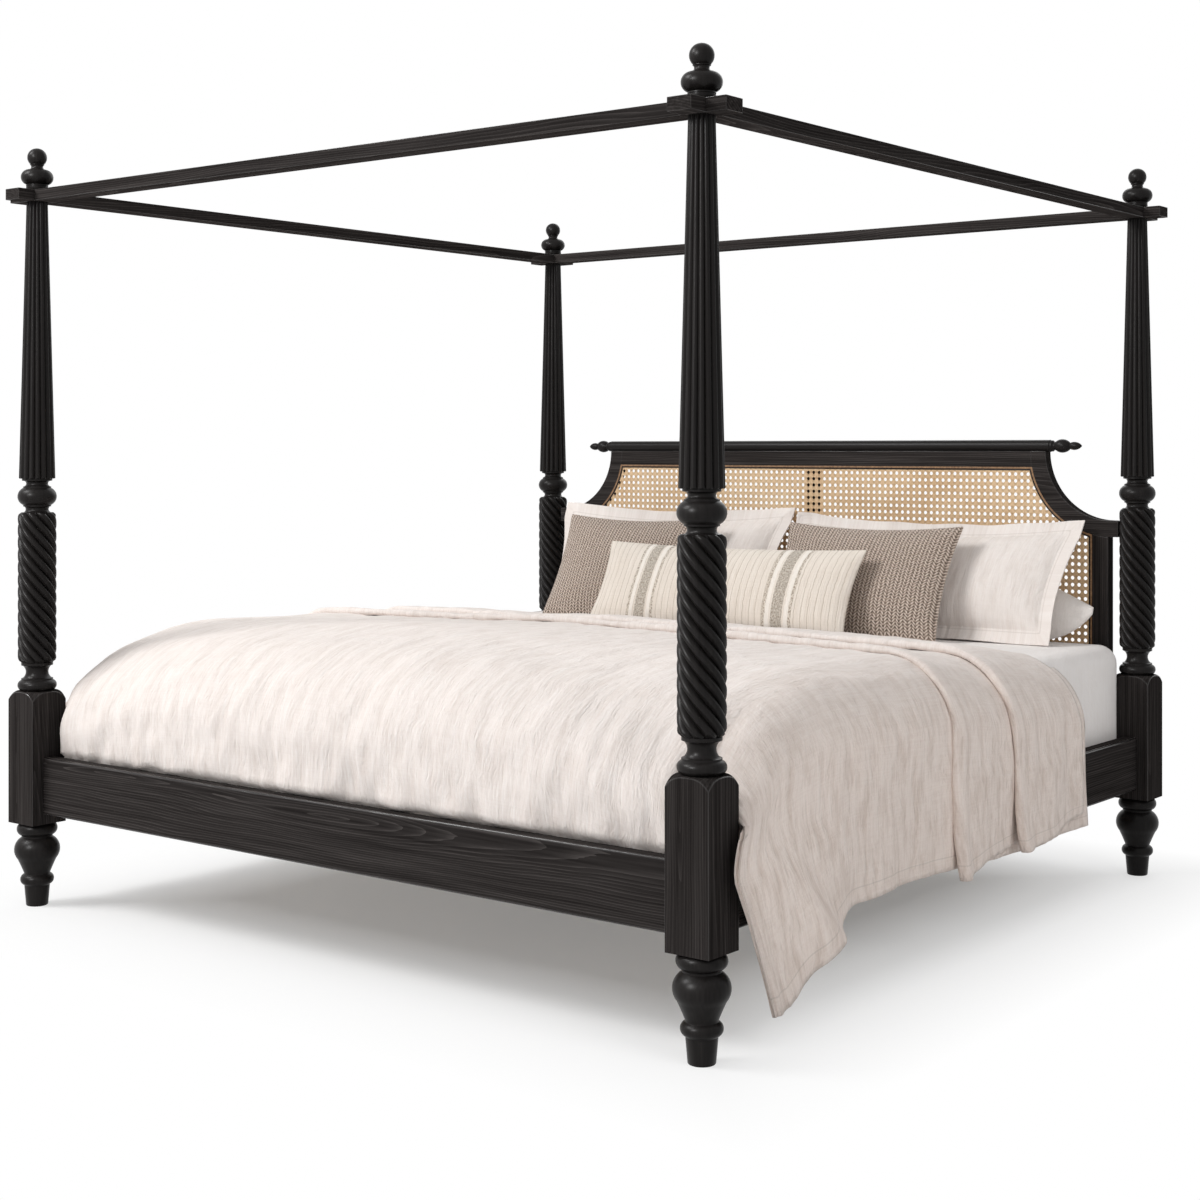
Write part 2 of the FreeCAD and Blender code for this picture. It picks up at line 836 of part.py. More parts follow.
def drape_section(y, hem_l, hem_r, fold, thick, crown):
    # One upright slice across the bed: over the mattress and down outside both side rails.
    bed_x = mattress_half_x + rest_gap
    under = mattress_top + rest_gap
    over = under + thick
    rail_x = half_x + rail_t / 2 + drape_out
    bend_z = rail_top + duvet_bend
    top_x = bed_x - duvet_edge_in

    def point(x, z):
        return Vector(x, y, z)

    def side(sign, hem):
        out = rail_x + drape_t + fold
        run = out - top_x
        rise = over - bend_z
        turn_r = (run ** 2 + rise ** 2) / (2 * run)
        half_turn = math.atan2(rise, turn_r - run) / 2
        mid_x = out - turn_r * (1 - math.cos(half_turn))
        mid_z = bend_z + turn_r * math.sin(half_turn)
        return {
            "hem_out": point(sign * out, hem),
            "bend_out": point(sign * out, bend_z),
            "turn_mid": point(sign * mid_x, mid_z),
            "top": point(sign * top_x, over),
            "hem_in": point(sign * (rail_x + fold), hem),
            "bend_in": point(sign * (rail_x + fold), rail_top),
            "edge": point(sign * bed_x, under),
        }

    left = side(-1, hem_l)
    right = side(1, hem_r)
    edges = [
        line(left["hem_out"], left["bend_out"]),
        arc(left["bend_out"], left["turn_mid"], left["top"]),
        arc(left["top"], point(0, over + crown), right["top"]),
        arc(right["top"], right["turn_mid"], right["bend_out"]),
        line(right["bend_out"], right["hem_out"]),
        line(right["hem_out"], right["hem_in"]),
        line(right["hem_in"], right["bend_in"]),
        line(right["bend_in"], right["edge"]),
        line(right["edge"], left["edge"]),
        line(left["edge"], left["bend_in"]),
        line(left["bend_in"], left["hem_in"]),
        line(left["hem_in"], left["hem_out"]),
    ]
    return Part.Wire(edges)


def duvet():
    start_y = drape_foot_gap - rail_half_y
    head_y = board_front - duvet_head_room
    count = len(hem_right)
    slices = []
    for i in range(count):
        y = start_y + (head_y - start_y) * i / (count - 1)
        fold = fold_depth if i % 2 else 0.0
        thinned = max(0, i - duvet_thins_from) / (count - 1 - duvet_thins_from)
        thick = duvet_t + (duvet_head_t - duvet_t) * thinned
        crown = duvet_crown + (duvet_head_crown - duvet_crown) * thinned
        slices.append(drape_section(y, hem_left[i], hem_right[i], fold, thick, crown))
    drape = Part.makeLoft(slices, True, True)
    # The foot end drops straight down between the mattress and the foot rail.
    near_y = mattress_foot_y - rest_gap
    under = mattress_top + rest_gap
    over = under + duvet_t
    reach = mattress_half_x - rest_gap
    low_z = rail_top - foot_tuck_in
    far_y = foot_tuck_room - rail_face_y
    join_y = start_y + foot_join

    def drop_section(x):
        rise = duvet_crown * (1 - foot_crown_share * (x / reach) ** 2)
        run = join_y - far_y
        lift = rise + duvet_bend
        turn_r = (run ** 2 + lift ** 2) / (2 * lift)
        half_turn = math.atan2(run, turn_r - lift) / 2
        mid_y = join_y - turn_r * math.sin(half_turn)
        mid_z = over + rise - turn_r * (1 - math.cos(half_turn))

        def point(y, z):
            return Vector(x, y, z)

        return Part.Wire([
            line(point(near_y, low_z), point(far_y, low_z)),
            line(point(far_y, low_z), point(far_y, over - duvet_bend)),
            arc(point(far_y, over - duvet_bend), point(mid_y, mid_z), point(join_y, over + rise)),
            line(point(join_y, over + rise), point(join_y, under)),
            line(point(join_y, under), point(near_y, under)),
            line(point(near_y, under), point(near_y, low_z)),
        ])

    places = [reach * (2 * i / (foot_sections - 1) - 1) for i in range(foot_sections)]
    drop = Part.makeLoft([drop_section(x) for x in places], True, True)
    return drape.fuse(drop)


def cushion(width, height, depth, draw_in):
    # A knife-edge cushion standing on Z 0, with crowned faces and sides drawn in between its corners.
    def ring(y, share):
        half_w = width / 2 * share
        half_h = height / 2 * share
        pull = draw_in * share
        corner = [(-half_w, -half_h), (half_w, -half_h), (half_w, half_h), (-half_w, half_h)]
        waist = [(0, pull - half_h), (half_w - pull, 0), (0, half_h - pull), (pull - half_w, 0)]
        edges = []
        for i in range(4):
            a = corner[i]
            b = waist[i]
            c = corner[(i + 1) % 4]
            edges.append(arc(*[Vector(x, y, z + height / 2) for x, z in (a, b, c)]))
        return Part.Wire(edges)

    crown = depth / 2
    shoulder = crown * shoulder_depth
    rings = [
        ring(-crown, crown_share),
        ring(-shoulder, shoulder_share),
        ring(0, 1.0),
        ring(shoulder, shoulder_share),
        ring(crown, crown_share),
    ]
    return Part.makeLoft(rings, True, True)


def settle(shape, behind):
    # Rests a cushion on the mattress and slides it back until it leans on what stands behind it.
    drop = mattress_top + rest_gap - shape.BoundBox.ZMin
    shape.translate(Vector(0, 0, drop))
    shape.translate(Vector(0, board_front - rest_gap - shape.BoundBox.YMax, 0))
    if not behind:
        return shape
    shape.translate(Vector(0, -settle_run, 0))
    for _ in range(settle_steps):
        gap = min(shape.distToShape(other)[0] for other in behind) - rest_gap
        room = board_front - rest_gap - shape.BoundBox.YMax
        if min(gap, room) < settle_done:
            break
        shape.translate(Vector(0, min(gap, room), 0))
    return shape


def made_bedding():
    made = {}
    for name, size in bedding.items():
        shape = cushion(size["width"], size["height"], size["depth"], size["draw_in"])
        shape.rotate(Vector(0, 0, 0), Vector(1, 0, 0), -size["lean"])
        shape.translate(Vector(size["x"], 0, 0))
        made[name] = settle(shape, [made[other] for other in size["behind"]])
    return made


def bed_pieces():
    pieces = {}
    turned = {
        "foot": foot(),
        "block": block(),
        "twist_column": twist_column(),
        "reeded_column": reeded_column(),
        "finial": finial(),
        "finial_pin": finial_pin(),
    }
    foot_studs = []
    column_studs = []
    for corner, (x, y) in corners.items():
        place = Vector(x, y, 0)
        for piece, shape in turned.items():
            pieces[f"{piece}_{corner}"] = shape.translated(place)
        foot_studs.append(rod(stud_d, block_z - stud_half_l, block_z + stud_half_l).translated(place))
        column_studs.append(rod(stud_d, upper_z - stud_half_l, upper_z + stud_half_l).translated(place))
    pieces["foot_studs"] = Part.makeCompound(foot_studs)
    pieces["column_studs"] = Part.makeCompound(column_studs)

    for name, along, side in (("foot", 0, -1), ("head", 0, 1), ("left", 1, -1), ("right", 1, 1)):
        pieces[f"canopy_rail_{name}"] = canopy_rail(along, side)
        pieces[f"bed_rail_{name}"] = bed_rail(along, side)

    angles = []
    screws = []
    for corner, (x, y) in corners.items():
        sx = math.copysign(1, x)
        sy = math.copysign(1, y)
        for along in (0, 1):
            angle, pair, holes = rail_angle(along, sx, sy)
            angles.append(angle)
            screws += pair
            rail = ("foot" if y < 0 else "head") if along == 0 else ("left" if x < 0 else "right")
            pieces[f"bed_rail_{rail}"] = pieces[f"bed_rail_{rail}"].cut(holes[0])
            pieces[f"block_{corner}"] = pieces[f"block_{corner}"].cut(holes[1])
    pieces["rail_angles"] = Part.makeCompound(angles)
    pieces["rail_screws"] = Part.makeCompound(screws)

    pieces["slat_ledgers"] = Part.makeCompound([ledger(-1), ledger(1)])
    pieces["slats"] = Part.makeCompound(slats())
    pieces["centre_beam"] = centre_beam()
    pieces["centre_legs"] = Part.makeCompound([centre_leg(y) for y in leg_places])

    for name, side in (("left", -1), ("right", 1)):
        pieces[f"headboard_bracket_{name}"] = headboard_bracket(side)
        pieces[f"headboard_stile_{name}"] = headboard_stile(side)
        pieces[f"roll_acorn_{name}"] = roll_acorn(side)
    pieces["headboard_top_rail"] = headboard_top_rail()
    pieces["headboard_bottom_rail"] = headboard_bottom_rail()
    pieces["headboard_roll"] = headboard_roll()
    pieces["headboard_muntin"] = muntin()
    pieces["cane_panel"] = cane_panel()
    pieces["cane_spline"] = cane_spline()

    pieces["mattress"] = mattress()
    pieces["duvet"] = duvet()
    pieces.update(made_bedding())
    return pieces


os.makedirs("parts", exist_ok=True)
for node, shape in bed_pieces().items():
    shape.exportStep(f"parts/{node}.step")
    litres = round(shape.Volume / 1e6, 3)
    print(node, "solids", len(shape.Solids), "valid", shape.isValid(), "litres", litres)
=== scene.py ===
import json
import math

import bmesh
import bpy
from mathutils import Matrix, Vector, noise

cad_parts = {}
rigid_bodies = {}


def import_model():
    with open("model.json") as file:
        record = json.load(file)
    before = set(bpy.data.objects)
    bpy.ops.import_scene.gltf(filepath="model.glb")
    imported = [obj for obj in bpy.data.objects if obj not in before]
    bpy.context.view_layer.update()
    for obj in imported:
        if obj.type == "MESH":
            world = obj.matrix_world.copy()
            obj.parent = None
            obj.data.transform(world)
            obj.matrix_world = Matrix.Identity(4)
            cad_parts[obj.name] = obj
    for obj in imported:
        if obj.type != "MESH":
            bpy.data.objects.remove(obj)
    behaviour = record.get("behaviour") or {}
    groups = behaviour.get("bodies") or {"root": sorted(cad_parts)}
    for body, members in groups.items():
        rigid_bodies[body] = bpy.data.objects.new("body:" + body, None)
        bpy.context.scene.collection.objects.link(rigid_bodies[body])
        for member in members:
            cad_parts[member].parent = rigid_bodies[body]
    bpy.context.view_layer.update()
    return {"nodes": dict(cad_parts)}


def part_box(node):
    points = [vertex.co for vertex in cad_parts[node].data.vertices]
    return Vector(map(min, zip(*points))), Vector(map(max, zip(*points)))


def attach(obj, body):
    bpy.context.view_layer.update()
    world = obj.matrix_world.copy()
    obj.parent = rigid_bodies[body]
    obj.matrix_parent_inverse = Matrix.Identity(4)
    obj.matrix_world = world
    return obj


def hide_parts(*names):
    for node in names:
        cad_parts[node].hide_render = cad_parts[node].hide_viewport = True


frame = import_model()
nodes = frame["nodes"]
scene = bpy.context.scene
corners = ("foot_left", "foot_right", "head_left", "head_right")
print("frame loaded,", len(nodes), "nodes")


def clamped(value):
    return max(0.0, min(1.0, value))


def onlyVerts(items):
    return [item for item in items if isinstance(item, bmesh.types.BMVert)]


def onlyEdges(items):
    return [item for item in items if isinstance(item, bmesh.types.BMEdge)]


# small helpers for node trees
def addNode(tree, kind, **values):
    node = tree.nodes.new(kind)
    for key, value in values.items():
        setattr(node, key, value)
    return node


def setInputs(node, **values):
    for key, value in values.items():
        node.inputs[key.replace("_", " ")].default_value = value
    return node


def mathNode(tree, operation, first, second=None, third=None):
    node = addNode(tree, "ShaderNodeMath", operation=operation)
    for place, value in enumerate((first, second, third)):
        if value is None:
            continue
        if isinstance(value, (int, float)):
            node.inputs[place].default_value = value
        else:
            tree.links.new(value, node.inputs[place])
    return node.outputs[0]


def stretched(tree, vector, scale):
    node = addNode(tree, "ShaderNodeVectorMath", operation="MULTIPLY")
    tree.links.new(vector, node.inputs[0])
    node.inputs[1].default_value = scale
    return node.outputs[0]


def noiseNode(tree, vector, scale, detail=3.0, rough=0.55):
    node = addNode(tree, "ShaderNodeTexNoise")
    setInputs(node, Scale=scale, Detail=detail, Roughness=rough)
    tree.links.new(vector, node.inputs["Vector"])
    return node.outputs["Fac"]


def rampNode(tree, fac, stops):
    node = addNode(tree, "ShaderNodeValToRGB")
    ramp = node.color_ramp
    for place, (position, colour) in enumerate(stops):
        stop = ramp.elements[place] if place < 2 else ramp.elements.new(position)
        stop.position = position
        stop.color = (*colour, 1.0)
    tree.links.new(fac, node.inputs["Fac"])
    return node.outputs["Color"]


def mixColours(tree, fac, first, second, blend="MIX"):
    node = addNode(tree, "ShaderNodeMix", data_type="RGBA", blend_type=blend)
    for socket, value in ((node.inputs[0], fac), (node.inputs[6], first), (node.inputs[7], second)):
        if isinstance(value, (int, float)):
            socket.default_value = value
        elif isinstance(value, tuple):
            socket.default_value = (*value, 1.0)
        else:
            tree.links.new(value, socket)
    return node.outputs[2]


def newGroup(name, inputs, outputs):
    group = bpy.data.node_groups.new(name, "ShaderNodeTree")
    for socketName, socketType, value in inputs:
        socket = group.interface.new_socket(socketName, in_out="INPUT", socket_type=socketType)
        if value is not None:
            socket.default_value = value
    for socketName, socketType in outputs:
        group.interface.new_socket(socketName, in_out="OUTPUT", socket_type=socketType)
    return group, addNode(group, "NodeGroupInput"), addNode(group, "NodeGroupOutput")


def useGroup(tree, group, vector, **values):
    node = addNode(tree, "ShaderNodeGroup", node_tree=group)
    tree.links.new(vector, node.inputs["Vector"])
    return setInputs(node, **values)


# grain of a plain-sawn board whose length runs along Z; the heart of the tree is tilted, which draws the arches
def makeWoodGrain():
    group, start, end = newGroup(
        "woodGrain",
        [
            ("Vector", "NodeSocketVector", None), ("Ring", "NodeSocketFloat", 0.006),
            ("Repeat", "NodeSocketFloat", 0.18), ("Figure", "NodeSocketFloat", 0.42),
        ],
        [("Grain", "NodeSocketFloat"), ("Pores", "NodeSocketFloat"), ("Height", "NodeSocketFloat")],
    )
    vector = start.outputs["Vector"]
    parts = addNode(group, "ShaderNodeSeparateXYZ")
    group.links.new(vector, parts.inputs[0])
    reach = start.outputs["Repeat"]
    back = mathNode(group, "MULTIPLY", reach, -1.0)
    across = mathNode(group, "WRAP", parts.outputs[0], reach, back)
    deep = mathNode(group, "WRAP", parts.outputs[1], reach, back)
    sway = addNode(group, "ShaderNodeTexNoise")
    setInputs(sway, Scale=1.0, Detail=2.0)
    group.links.new(stretched(group, vector, (5.0, 5.0, 1.1)), sway.inputs["Vector"])
    swayParts = addNode(group, "ShaderNodeSeparateColor")
    group.links.new(sway.outputs["Color"], swayParts.inputs[0])
    rough = noiseNode(group, stretched(group, vector, (60.0, 60.0, 5.0)), 1.0, 2.0)
    fromHeart = mathNode(group, "MULTIPLY_ADD", swayParts.outputs[0], 0.07, mathNode(group, "ADD", across, -0.02))
    tilted = mathNode(group, "MULTIPLY_ADD", parts.outputs[2], 0.03, deep)
    depth = mathNode(group, "MULTIPLY_ADD", swayParts.outputs[1], 0.07, tilted)
    square = mathNode(group, "MULTIPLY_ADD", fromHeart, fromHeart, mathNode(group, "MULTIPLY", depth, depth))
    radius = mathNode(group, "MULTIPLY_ADD", rough, 0.004, mathNode(group, "SQRT", square))
    phase = mathNode(group, "FRACT", mathNode(group, "DIVIDE", radius, start.outputs["Ring"]))
    line = mathNode(group, "POWER", phase, 3.2)
    pores = noiseNode(group, stretched(group, vector, (520.0, 520.0, 11.0)), 1.0, 2.0)
    streaks = noiseNode(group, stretched(group, vector, (110.0, 110.0, 2.2)), 1.0, 3.0)
    grain = mathNode(group, "MULTIPLY_ADD", line, start.outputs["Figure"], mathNode(group, "MULTIPLY", streaks, 0.66))
    height = mathNode(group, "MULTIPLY_ADD", pores, 0.55, mathNode(group, "MULTIPLY", line, 0.3))
    group.links.new(grain, end.inputs["Grain"])
    group.links.new(pores, end.inputs["Pores"])
    group.links.new(height, end.inputs["Height"])
    return group


def mixValues(tree, fac, first, second):
    return mathNode(tree, "MULTIPLY_ADD", mathNode(tree, "SUBTRACT", second, first), fac, first)


# plain weave with slubs and creases; the vector is in metres, and drop turns both to run down a hanging side
def makeClothWeave():
    group, start, end = newGroup(
        "clothWeave",
        [("Vector", "NodeSocketVector", None), ("Threads", "NodeSocketFloat", 900.0), ("Drop", "NodeSocketFloat", 0.0)],
        [(output, "NodeSocketFloat") for output in ("Slub", "Height", "Crumple", "Dip")],
    )
    vector = start.outputs["Vector"]
    drop = start.outputs["Drop"]
    parts = addNode(group, "ShaderNodeSeparateXYZ")
    group.links.new(vector, parts.inputs[0])
    waves = []
    for axis in (0, 1):
        turn = mathNode(group, "MULTIPLY", parts.outputs[axis], start.outputs["Threads"])
        waves.append(mathNode(group, "SINE", mathNode(group, "MULTIPLY", turn, 2 * math.pi)))
    threads = mathNode(group, "MULTIPLY", waves[0], waves[1])
    warp = noiseNode(group, stretched(group, vector, (260.0, 9.0, 1.0)), 1.0, 3.0)
    weft = noiseNode(group, stretched(group, vector, (9.0, 260.0, 1.0)), 1.0, 3.0)
    slubs = mixValues(group, mixValues(group, drop, 0.24, 0.62), warp, weft)
    bend = addNode(group, "ShaderNodeTexNoise")
    setInputs(bend, Scale=7.0, Detail=2.0)
    group.links.new(vector, bend.inputs["Vector"])
    wander = addNode(group, "ShaderNodeVectorMath", operation="MULTIPLY_ADD")
    group.links.new(bend.outputs["Color"], wander.inputs[0])
    wander.inputs[1].default_value = (0.05, 0.05, 0.0)
    group.links.new(vector, wander.inputs[2])
    creases = []
    for fine, wide in (((130.0, 27.0, 1.0), (38.0, 9.0, 1.0)), ((27.0, 110.0, 1.0), (9.0, 38.0, 1.0))):
        small = noiseNode(group, stretched(group, wander.outputs[0], fine), 1.0, 3.0)
        large = noiseNode(group, stretched(group, wander.outputs[0], wide), 1.0, 3.0)
        ridge = mathNode(group, "ABSOLUTE", mathNode(group, "MULTIPLY_ADD", small, 2.0, -1.0))
        creases.append(mathNode(group, "MULTIPLY_ADD", ridge, -0.35, large))
    group.links.new(slubs, end.inputs["Slub"])
    group.links.new(mathNode(group, "MULTIPLY_ADD", threads, 0.12, slubs), end.inputs["Height"])
    deeper = mathNode(group, "MULTIPLY", creases[1], 1.8)
    group.links.new(mixValues(group, drop, creases[0], deeper), end.inputs["Crumple"])
    # the same creases, as the mask for the painted shade that the linen's colour gets along them
    group.links.new(mixValues(group, drop, creases[0], creases[1]), end.inputs["Dip"])
    return group


woodGrain = makeWoodGrain()
clothWeave = makeClothWeave()


def newMaterial(name, **values):
    material = bpy.data.materials.new(name)
    material.use_nodes = True
    tree = material.node_tree
    shader = tree.nodes["Principled BSDF"]
    setInputs(shader, **values)
    return material, tree, shader


def bumpFrom(tree, height, strength, distance, normal=None):
    bump = addNode(tree, "ShaderNodeBump")
    setInputs(bump, Strength=strength, Distance=distance)
    tree.links.new(height, bump.inputs["Height"])
    if normal is not None:
        tree.links.new(normal, bump.inputs["Normal"])
    return bump.outputs["Normal"]


grainTurns = {
    "x": (0.0, math.radians(-90), 0.0),
    "y": (math.radians(90), 0.0, 0.0),
    "z": (0.0, 0.0, 0.0),
}


def makeWood(name, along, tones, ring, gloss, relief, shine, figure=0.42):
    material, tree, shader = newMaterial(name)
    arris = addNode(tree, "ShaderNodeAttribute", attribute_name="arris")  # eased edges are rubbed brighter
    tree.links.new(mathNode(tree, "MULTIPLY_ADD", arris.outputs["Fac"], 0.30, shine), shader.inputs["Specular IOR Level"])
    coords = addNode(tree, "ShaderNodeTexCoord")
    mapping = addNode(tree, "ShaderNodeMapping")
    mapping.inputs["Rotation"].default_value = grainTurns[along]
    tree.links.new(coords.outputs["Object"], mapping.inputs["Vector"])
    grain = useGroup(tree, woodGrain, mapping.outputs["Vector"], Ring=ring, Figure=figure)
    colour = rampNode(tree, grain.outputs["Grain"], tones)
    pored = mixColours(tree, mathNode(tree, "MULTIPLY", grain.outputs["Pores"], 0.4), colour, tones[0][1])
    tree.links.new(pored, shader.inputs["Base Color"])
    rough = mathNode(tree, "MULTIPLY_ADD", grain.outputs["Grain"], 0.14, gloss)
    tree.links.new(mathNode(tree, "MULTIPLY_ADD", arris.outputs["Fac"], -0.14, rough), shader.inputs["Roughness"])
    tree.links.new(bumpFrom(tree, grain.outputs["Height"], relief, 0.0006), shader.inputs["Normal"])
    return material


# one black stain in two copies: the boards' tones are three to four times lighter than the turned parts', painted light
# standing in for the sheen the boards are not given, while the turned parts keep their sheen and get their own lamp
blackTones = [(0.24, (0.0070, 0.0061, 0.0058)), (0.46, (0.0115, 0.0102, 0.0098)), (0.74, (0.0260, 0.0232, 0.0223))]
litBoardTones = [(0.24, (0.0190, 0.0165, 0.0158)), (0.46, (0.0460, 0.0410, 0.0395)), (0.74, (0.1080, 0.0965, 0.0925))]
pineTones = [(0.15, (0.42, 0.33, 0.23)), (0.6, (0.58, 0.49, 0.37)), (0.9, (0.68, 0.60, 0.48))]
blackWood, turnedWood, slatWood = {}, {}, {}
for along in "xyz":
    figure = 0.18 if along == "z" else 0.27
    blackWood[along] = makeWood("blackWood" + along.upper(), along, litBoardTones, 0.0058, 0.34, 0.4, 0.0, figure)
for along in "xz":
    turnedWood[along] = makeWood("turnedBlack" + along.upper(), along, blackTones, 0.0058, 0.29, 0.03, 0.10, 0.10)
for along in "xyz":
    slatWood[along] = makeWood("slatWood" + along.upper(), along, pineTones, 0.009, 0.5, 0.2, 0.4)


def makeSteel():
    material, tree, shader = newMaterial("zincSteel", Metallic=1.0)
    coords = addNode(tree, "ShaderNodeTexCoord")
    spangle = noiseNode(tree, coords.outputs["Object"], 90.0, 2.0)
    colour = rampNode(tree, spangle, [(0.3, (0.46, 0.46, 0.47)), (0.7, (0.62, 0.62, 0.64))])
    tree.links.new(colour, shader.inputs["Base Color"])
    tree.links.new(mathNode(tree, "MULTIPLY_ADD", spangle, 0.2, 0.28), shader.inputs["Roughness"])
    return material


zincSteel = makeSteel()

caneWeave = {"pitch": 0.020, "hole": 0.0060, "corner": 0.0057, "thick": 0.0022, "firstRow": 0.0012}


# strands of the cane: pairs both ways and two diagonals, on the pitch of the holes
def makeCane():
    material, tree, shader = newMaterial("wovenCane", Roughness=0.45)
    coords = addNode(tree, "ShaderNodeTexCoord")
    parts = addNode(tree, "ShaderNodeSeparateXYZ")
    tree.links.new(coords.outputs["Object"], parts.inputs[0])
    step = 2 * math.pi / caneWeave["pitch"]
    across = mathNode(tree, "MULTIPLY", parts.outputs[0], step)
    upward = mathNode(tree, "MULTIPLY", parts.outputs[2], step)
    rise = mathNode(tree, "COSINE", mathNode(tree, "ADD", across, upward))
    fall = mathNode(tree, "COSINE", mathNode(tree, "SUBTRACT", across, upward))
    pairX = mathNode(tree, "COSINE", mathNode(tree, "MULTIPLY", across, 6.0))
    pairZ = mathNode(tree, "COSINE", mathNode(tree, "MULTIPLY", upward, 6.0))
    diagonals = mathNode(tree, "MAXIMUM", mathNode(tree, "MULTIPLY", rise, -1.0), mathNode(tree, "MULTIPLY", fall, -1.0))
    pairs = mathNode(tree, "MAXIMUM", pairX, pairZ)
    height = mathNode(tree, "MAXIMUM", diagonals, mathNode(tree, "MULTIPLY", pairs, 0.8))
    streak = noiseNode(tree, stretched(tree, coords.outputs["Object"], (500.0, 1.0, 60.0)), 1.0, 3.0)
    patch = noiseNode(tree, coords.outputs["Object"], 7.0, 3.0)
    tone = mathNode(tree, "MULTIPLY_ADD", streak, 0.5, mathNode(tree, "MULTIPLY", patch, 0.5))
    colour = rampNode(tree, tone, [(0.30, (0.52, 0.33, 0.17)), (0.52, (0.70, 0.49, 0.29)), (0.75, (0.82, 0.64, 0.43))])
    # painted shade: the colour darkens in the low places between the strands
    grooves = rampNode(tree, height, [(0.05, (0.45, 0.36, 0.28)), (0.45, (1.0, 1.0, 1.0))])
    tree.links.new(mixColours(tree, 0.8, colour, grooves, "MULTIPLY"), shader.inputs["Base Color"])
    tree.links.new(bumpFrom(tree, height, 0.7, 0.0012), shader.inputs["Normal"])
    return material


# reed that wedges the cane into its groove
def makeCaneEdge():
    material, tree, shader = newMaterial("caneEdge", Roughness=0.5)
    coords = addNode(tree, "ShaderNodeTexCoord")
    streak = noiseNode(tree, stretched(tree, coords.outputs["Object"], (140.0, 140.0, 140.0)), 1.0, 3.0)
    colour = rampNode(tree, streak, [(0.3, (0.15, 0.078, 0.036)), (0.7, (0.32, 0.18, 0.085))])
    tree.links.new(colour, shader.inputs["Base Color"])
    tree.links.new(bumpFrom(tree, streak, 0.3, 0.0006), shader.inputs["Normal"])
    return material


wovenCane = makeCane()
caneEdge = makeCaneEdge()


# cloth materials read the cloth's own UV map, in metres
def clothBase(name, threads, sheen):
    material, tree, shader = newMaterial(name, Roughness=0.9, Sheen_Weight=sheen, Sheen_Roughness=0.5)
    cloth = addNode(tree, "ShaderNodeUVMap", uv_map="cloth")
    drop = addNode(tree, "ShaderNodeAttribute", attribute_name="drop")
    weave = useGroup(tree, clothWeave, cloth.outputs["UV"], Threads=threads)
    tree.links.new(drop.outputs["Fac"], weave.inputs["Drop"])
    return material, tree, shader, cloth.outputs["UV"], weave, drop.outputs["Fac"]


def makeLinen(name, tones, crumple, slubDepth):
    material, tree, shader, cloth, weave, drop = clothBase(name, 700.0, 0.12)
    plain = rampNode(tree, weave.outputs["Slub"], tones)
    # painted shade: the colour darkens along the creases, more where the cloth hangs down the sides
    creaseShade = rampNode(tree, weave.outputs["Dip"], [(0.24, (0.81, 0.775, 0.75)), (0.52, (1.0, 1.0, 1.0))])
    creaseShaded = mixColours(tree, mathNode(tree, "MULTIPLY_ADD", drop, 0.45, crumple * 0.85), plain, creaseShade, "MULTIPLY")
    # painted warm shade: the hanging sides are tinted warmer, as if by light bounced into their shade
    warmShade = mixColours(tree, 1.0, creaseShaded, (1.0, 0.955, 0.925), "MULTIPLY")  # where it hangs
    colour = mixColours(tree, drop, creaseShaded, warmShade)
    hem = addNode(tree, "ShaderNodeAttribute", attribute_name="hem")
    off = mathNode(tree, "ABSOLUTE", mathNode(tree, "SUBTRACT", hem.outputs["Fac"], 0.034))
    seam = mathNode(tree, "LESS_THAN", off, 0.0016)
    seamed = mixColours(tree, mathNode(tree, "MULTIPLY", seam, 0.3), colour, (0.46, 0.40, 0.35))
    tree.links.new(seamed, shader.inputs["Base Color"])
    soft = bumpFrom(tree, weave.outputs["Crumple"], crumple, 0.010)
    fine = bumpFrom(tree, weave.outputs["Height"], slubDepth, 0.0010, soft)
    tree.links.new(fine, shader.inputs["Normal"])
    return material


linenTones = [(0.30, (0.762, 0.682, 0.636)), (0.5, (0.827, 0.757, 0.716)), (0.70, (0.862, 0.812, 0.780))]
linen = makeLinen("linen", linenTones, 0.62, 0.30)
shamLinen = makeLinen("shamLinen", [(0.3, (0.76, 0.690, 0.645)), (0.7, (0.84, 0.790, 0.755))], 0.55, 0.30)
pillowCotton = makeLinen("pillowCotton", [(0.3, (0.80, 0.745, 0.705)), (0.7, (0.85, 0.805, 0.77))], 0.25, 0.15)
sheetCotton = makeLinen("sheetCotton", [(0.3, (0.85, 0.805, 0.78)), (0.7, (0.88, 0.845, 0.825))], 0.18, 0.10)


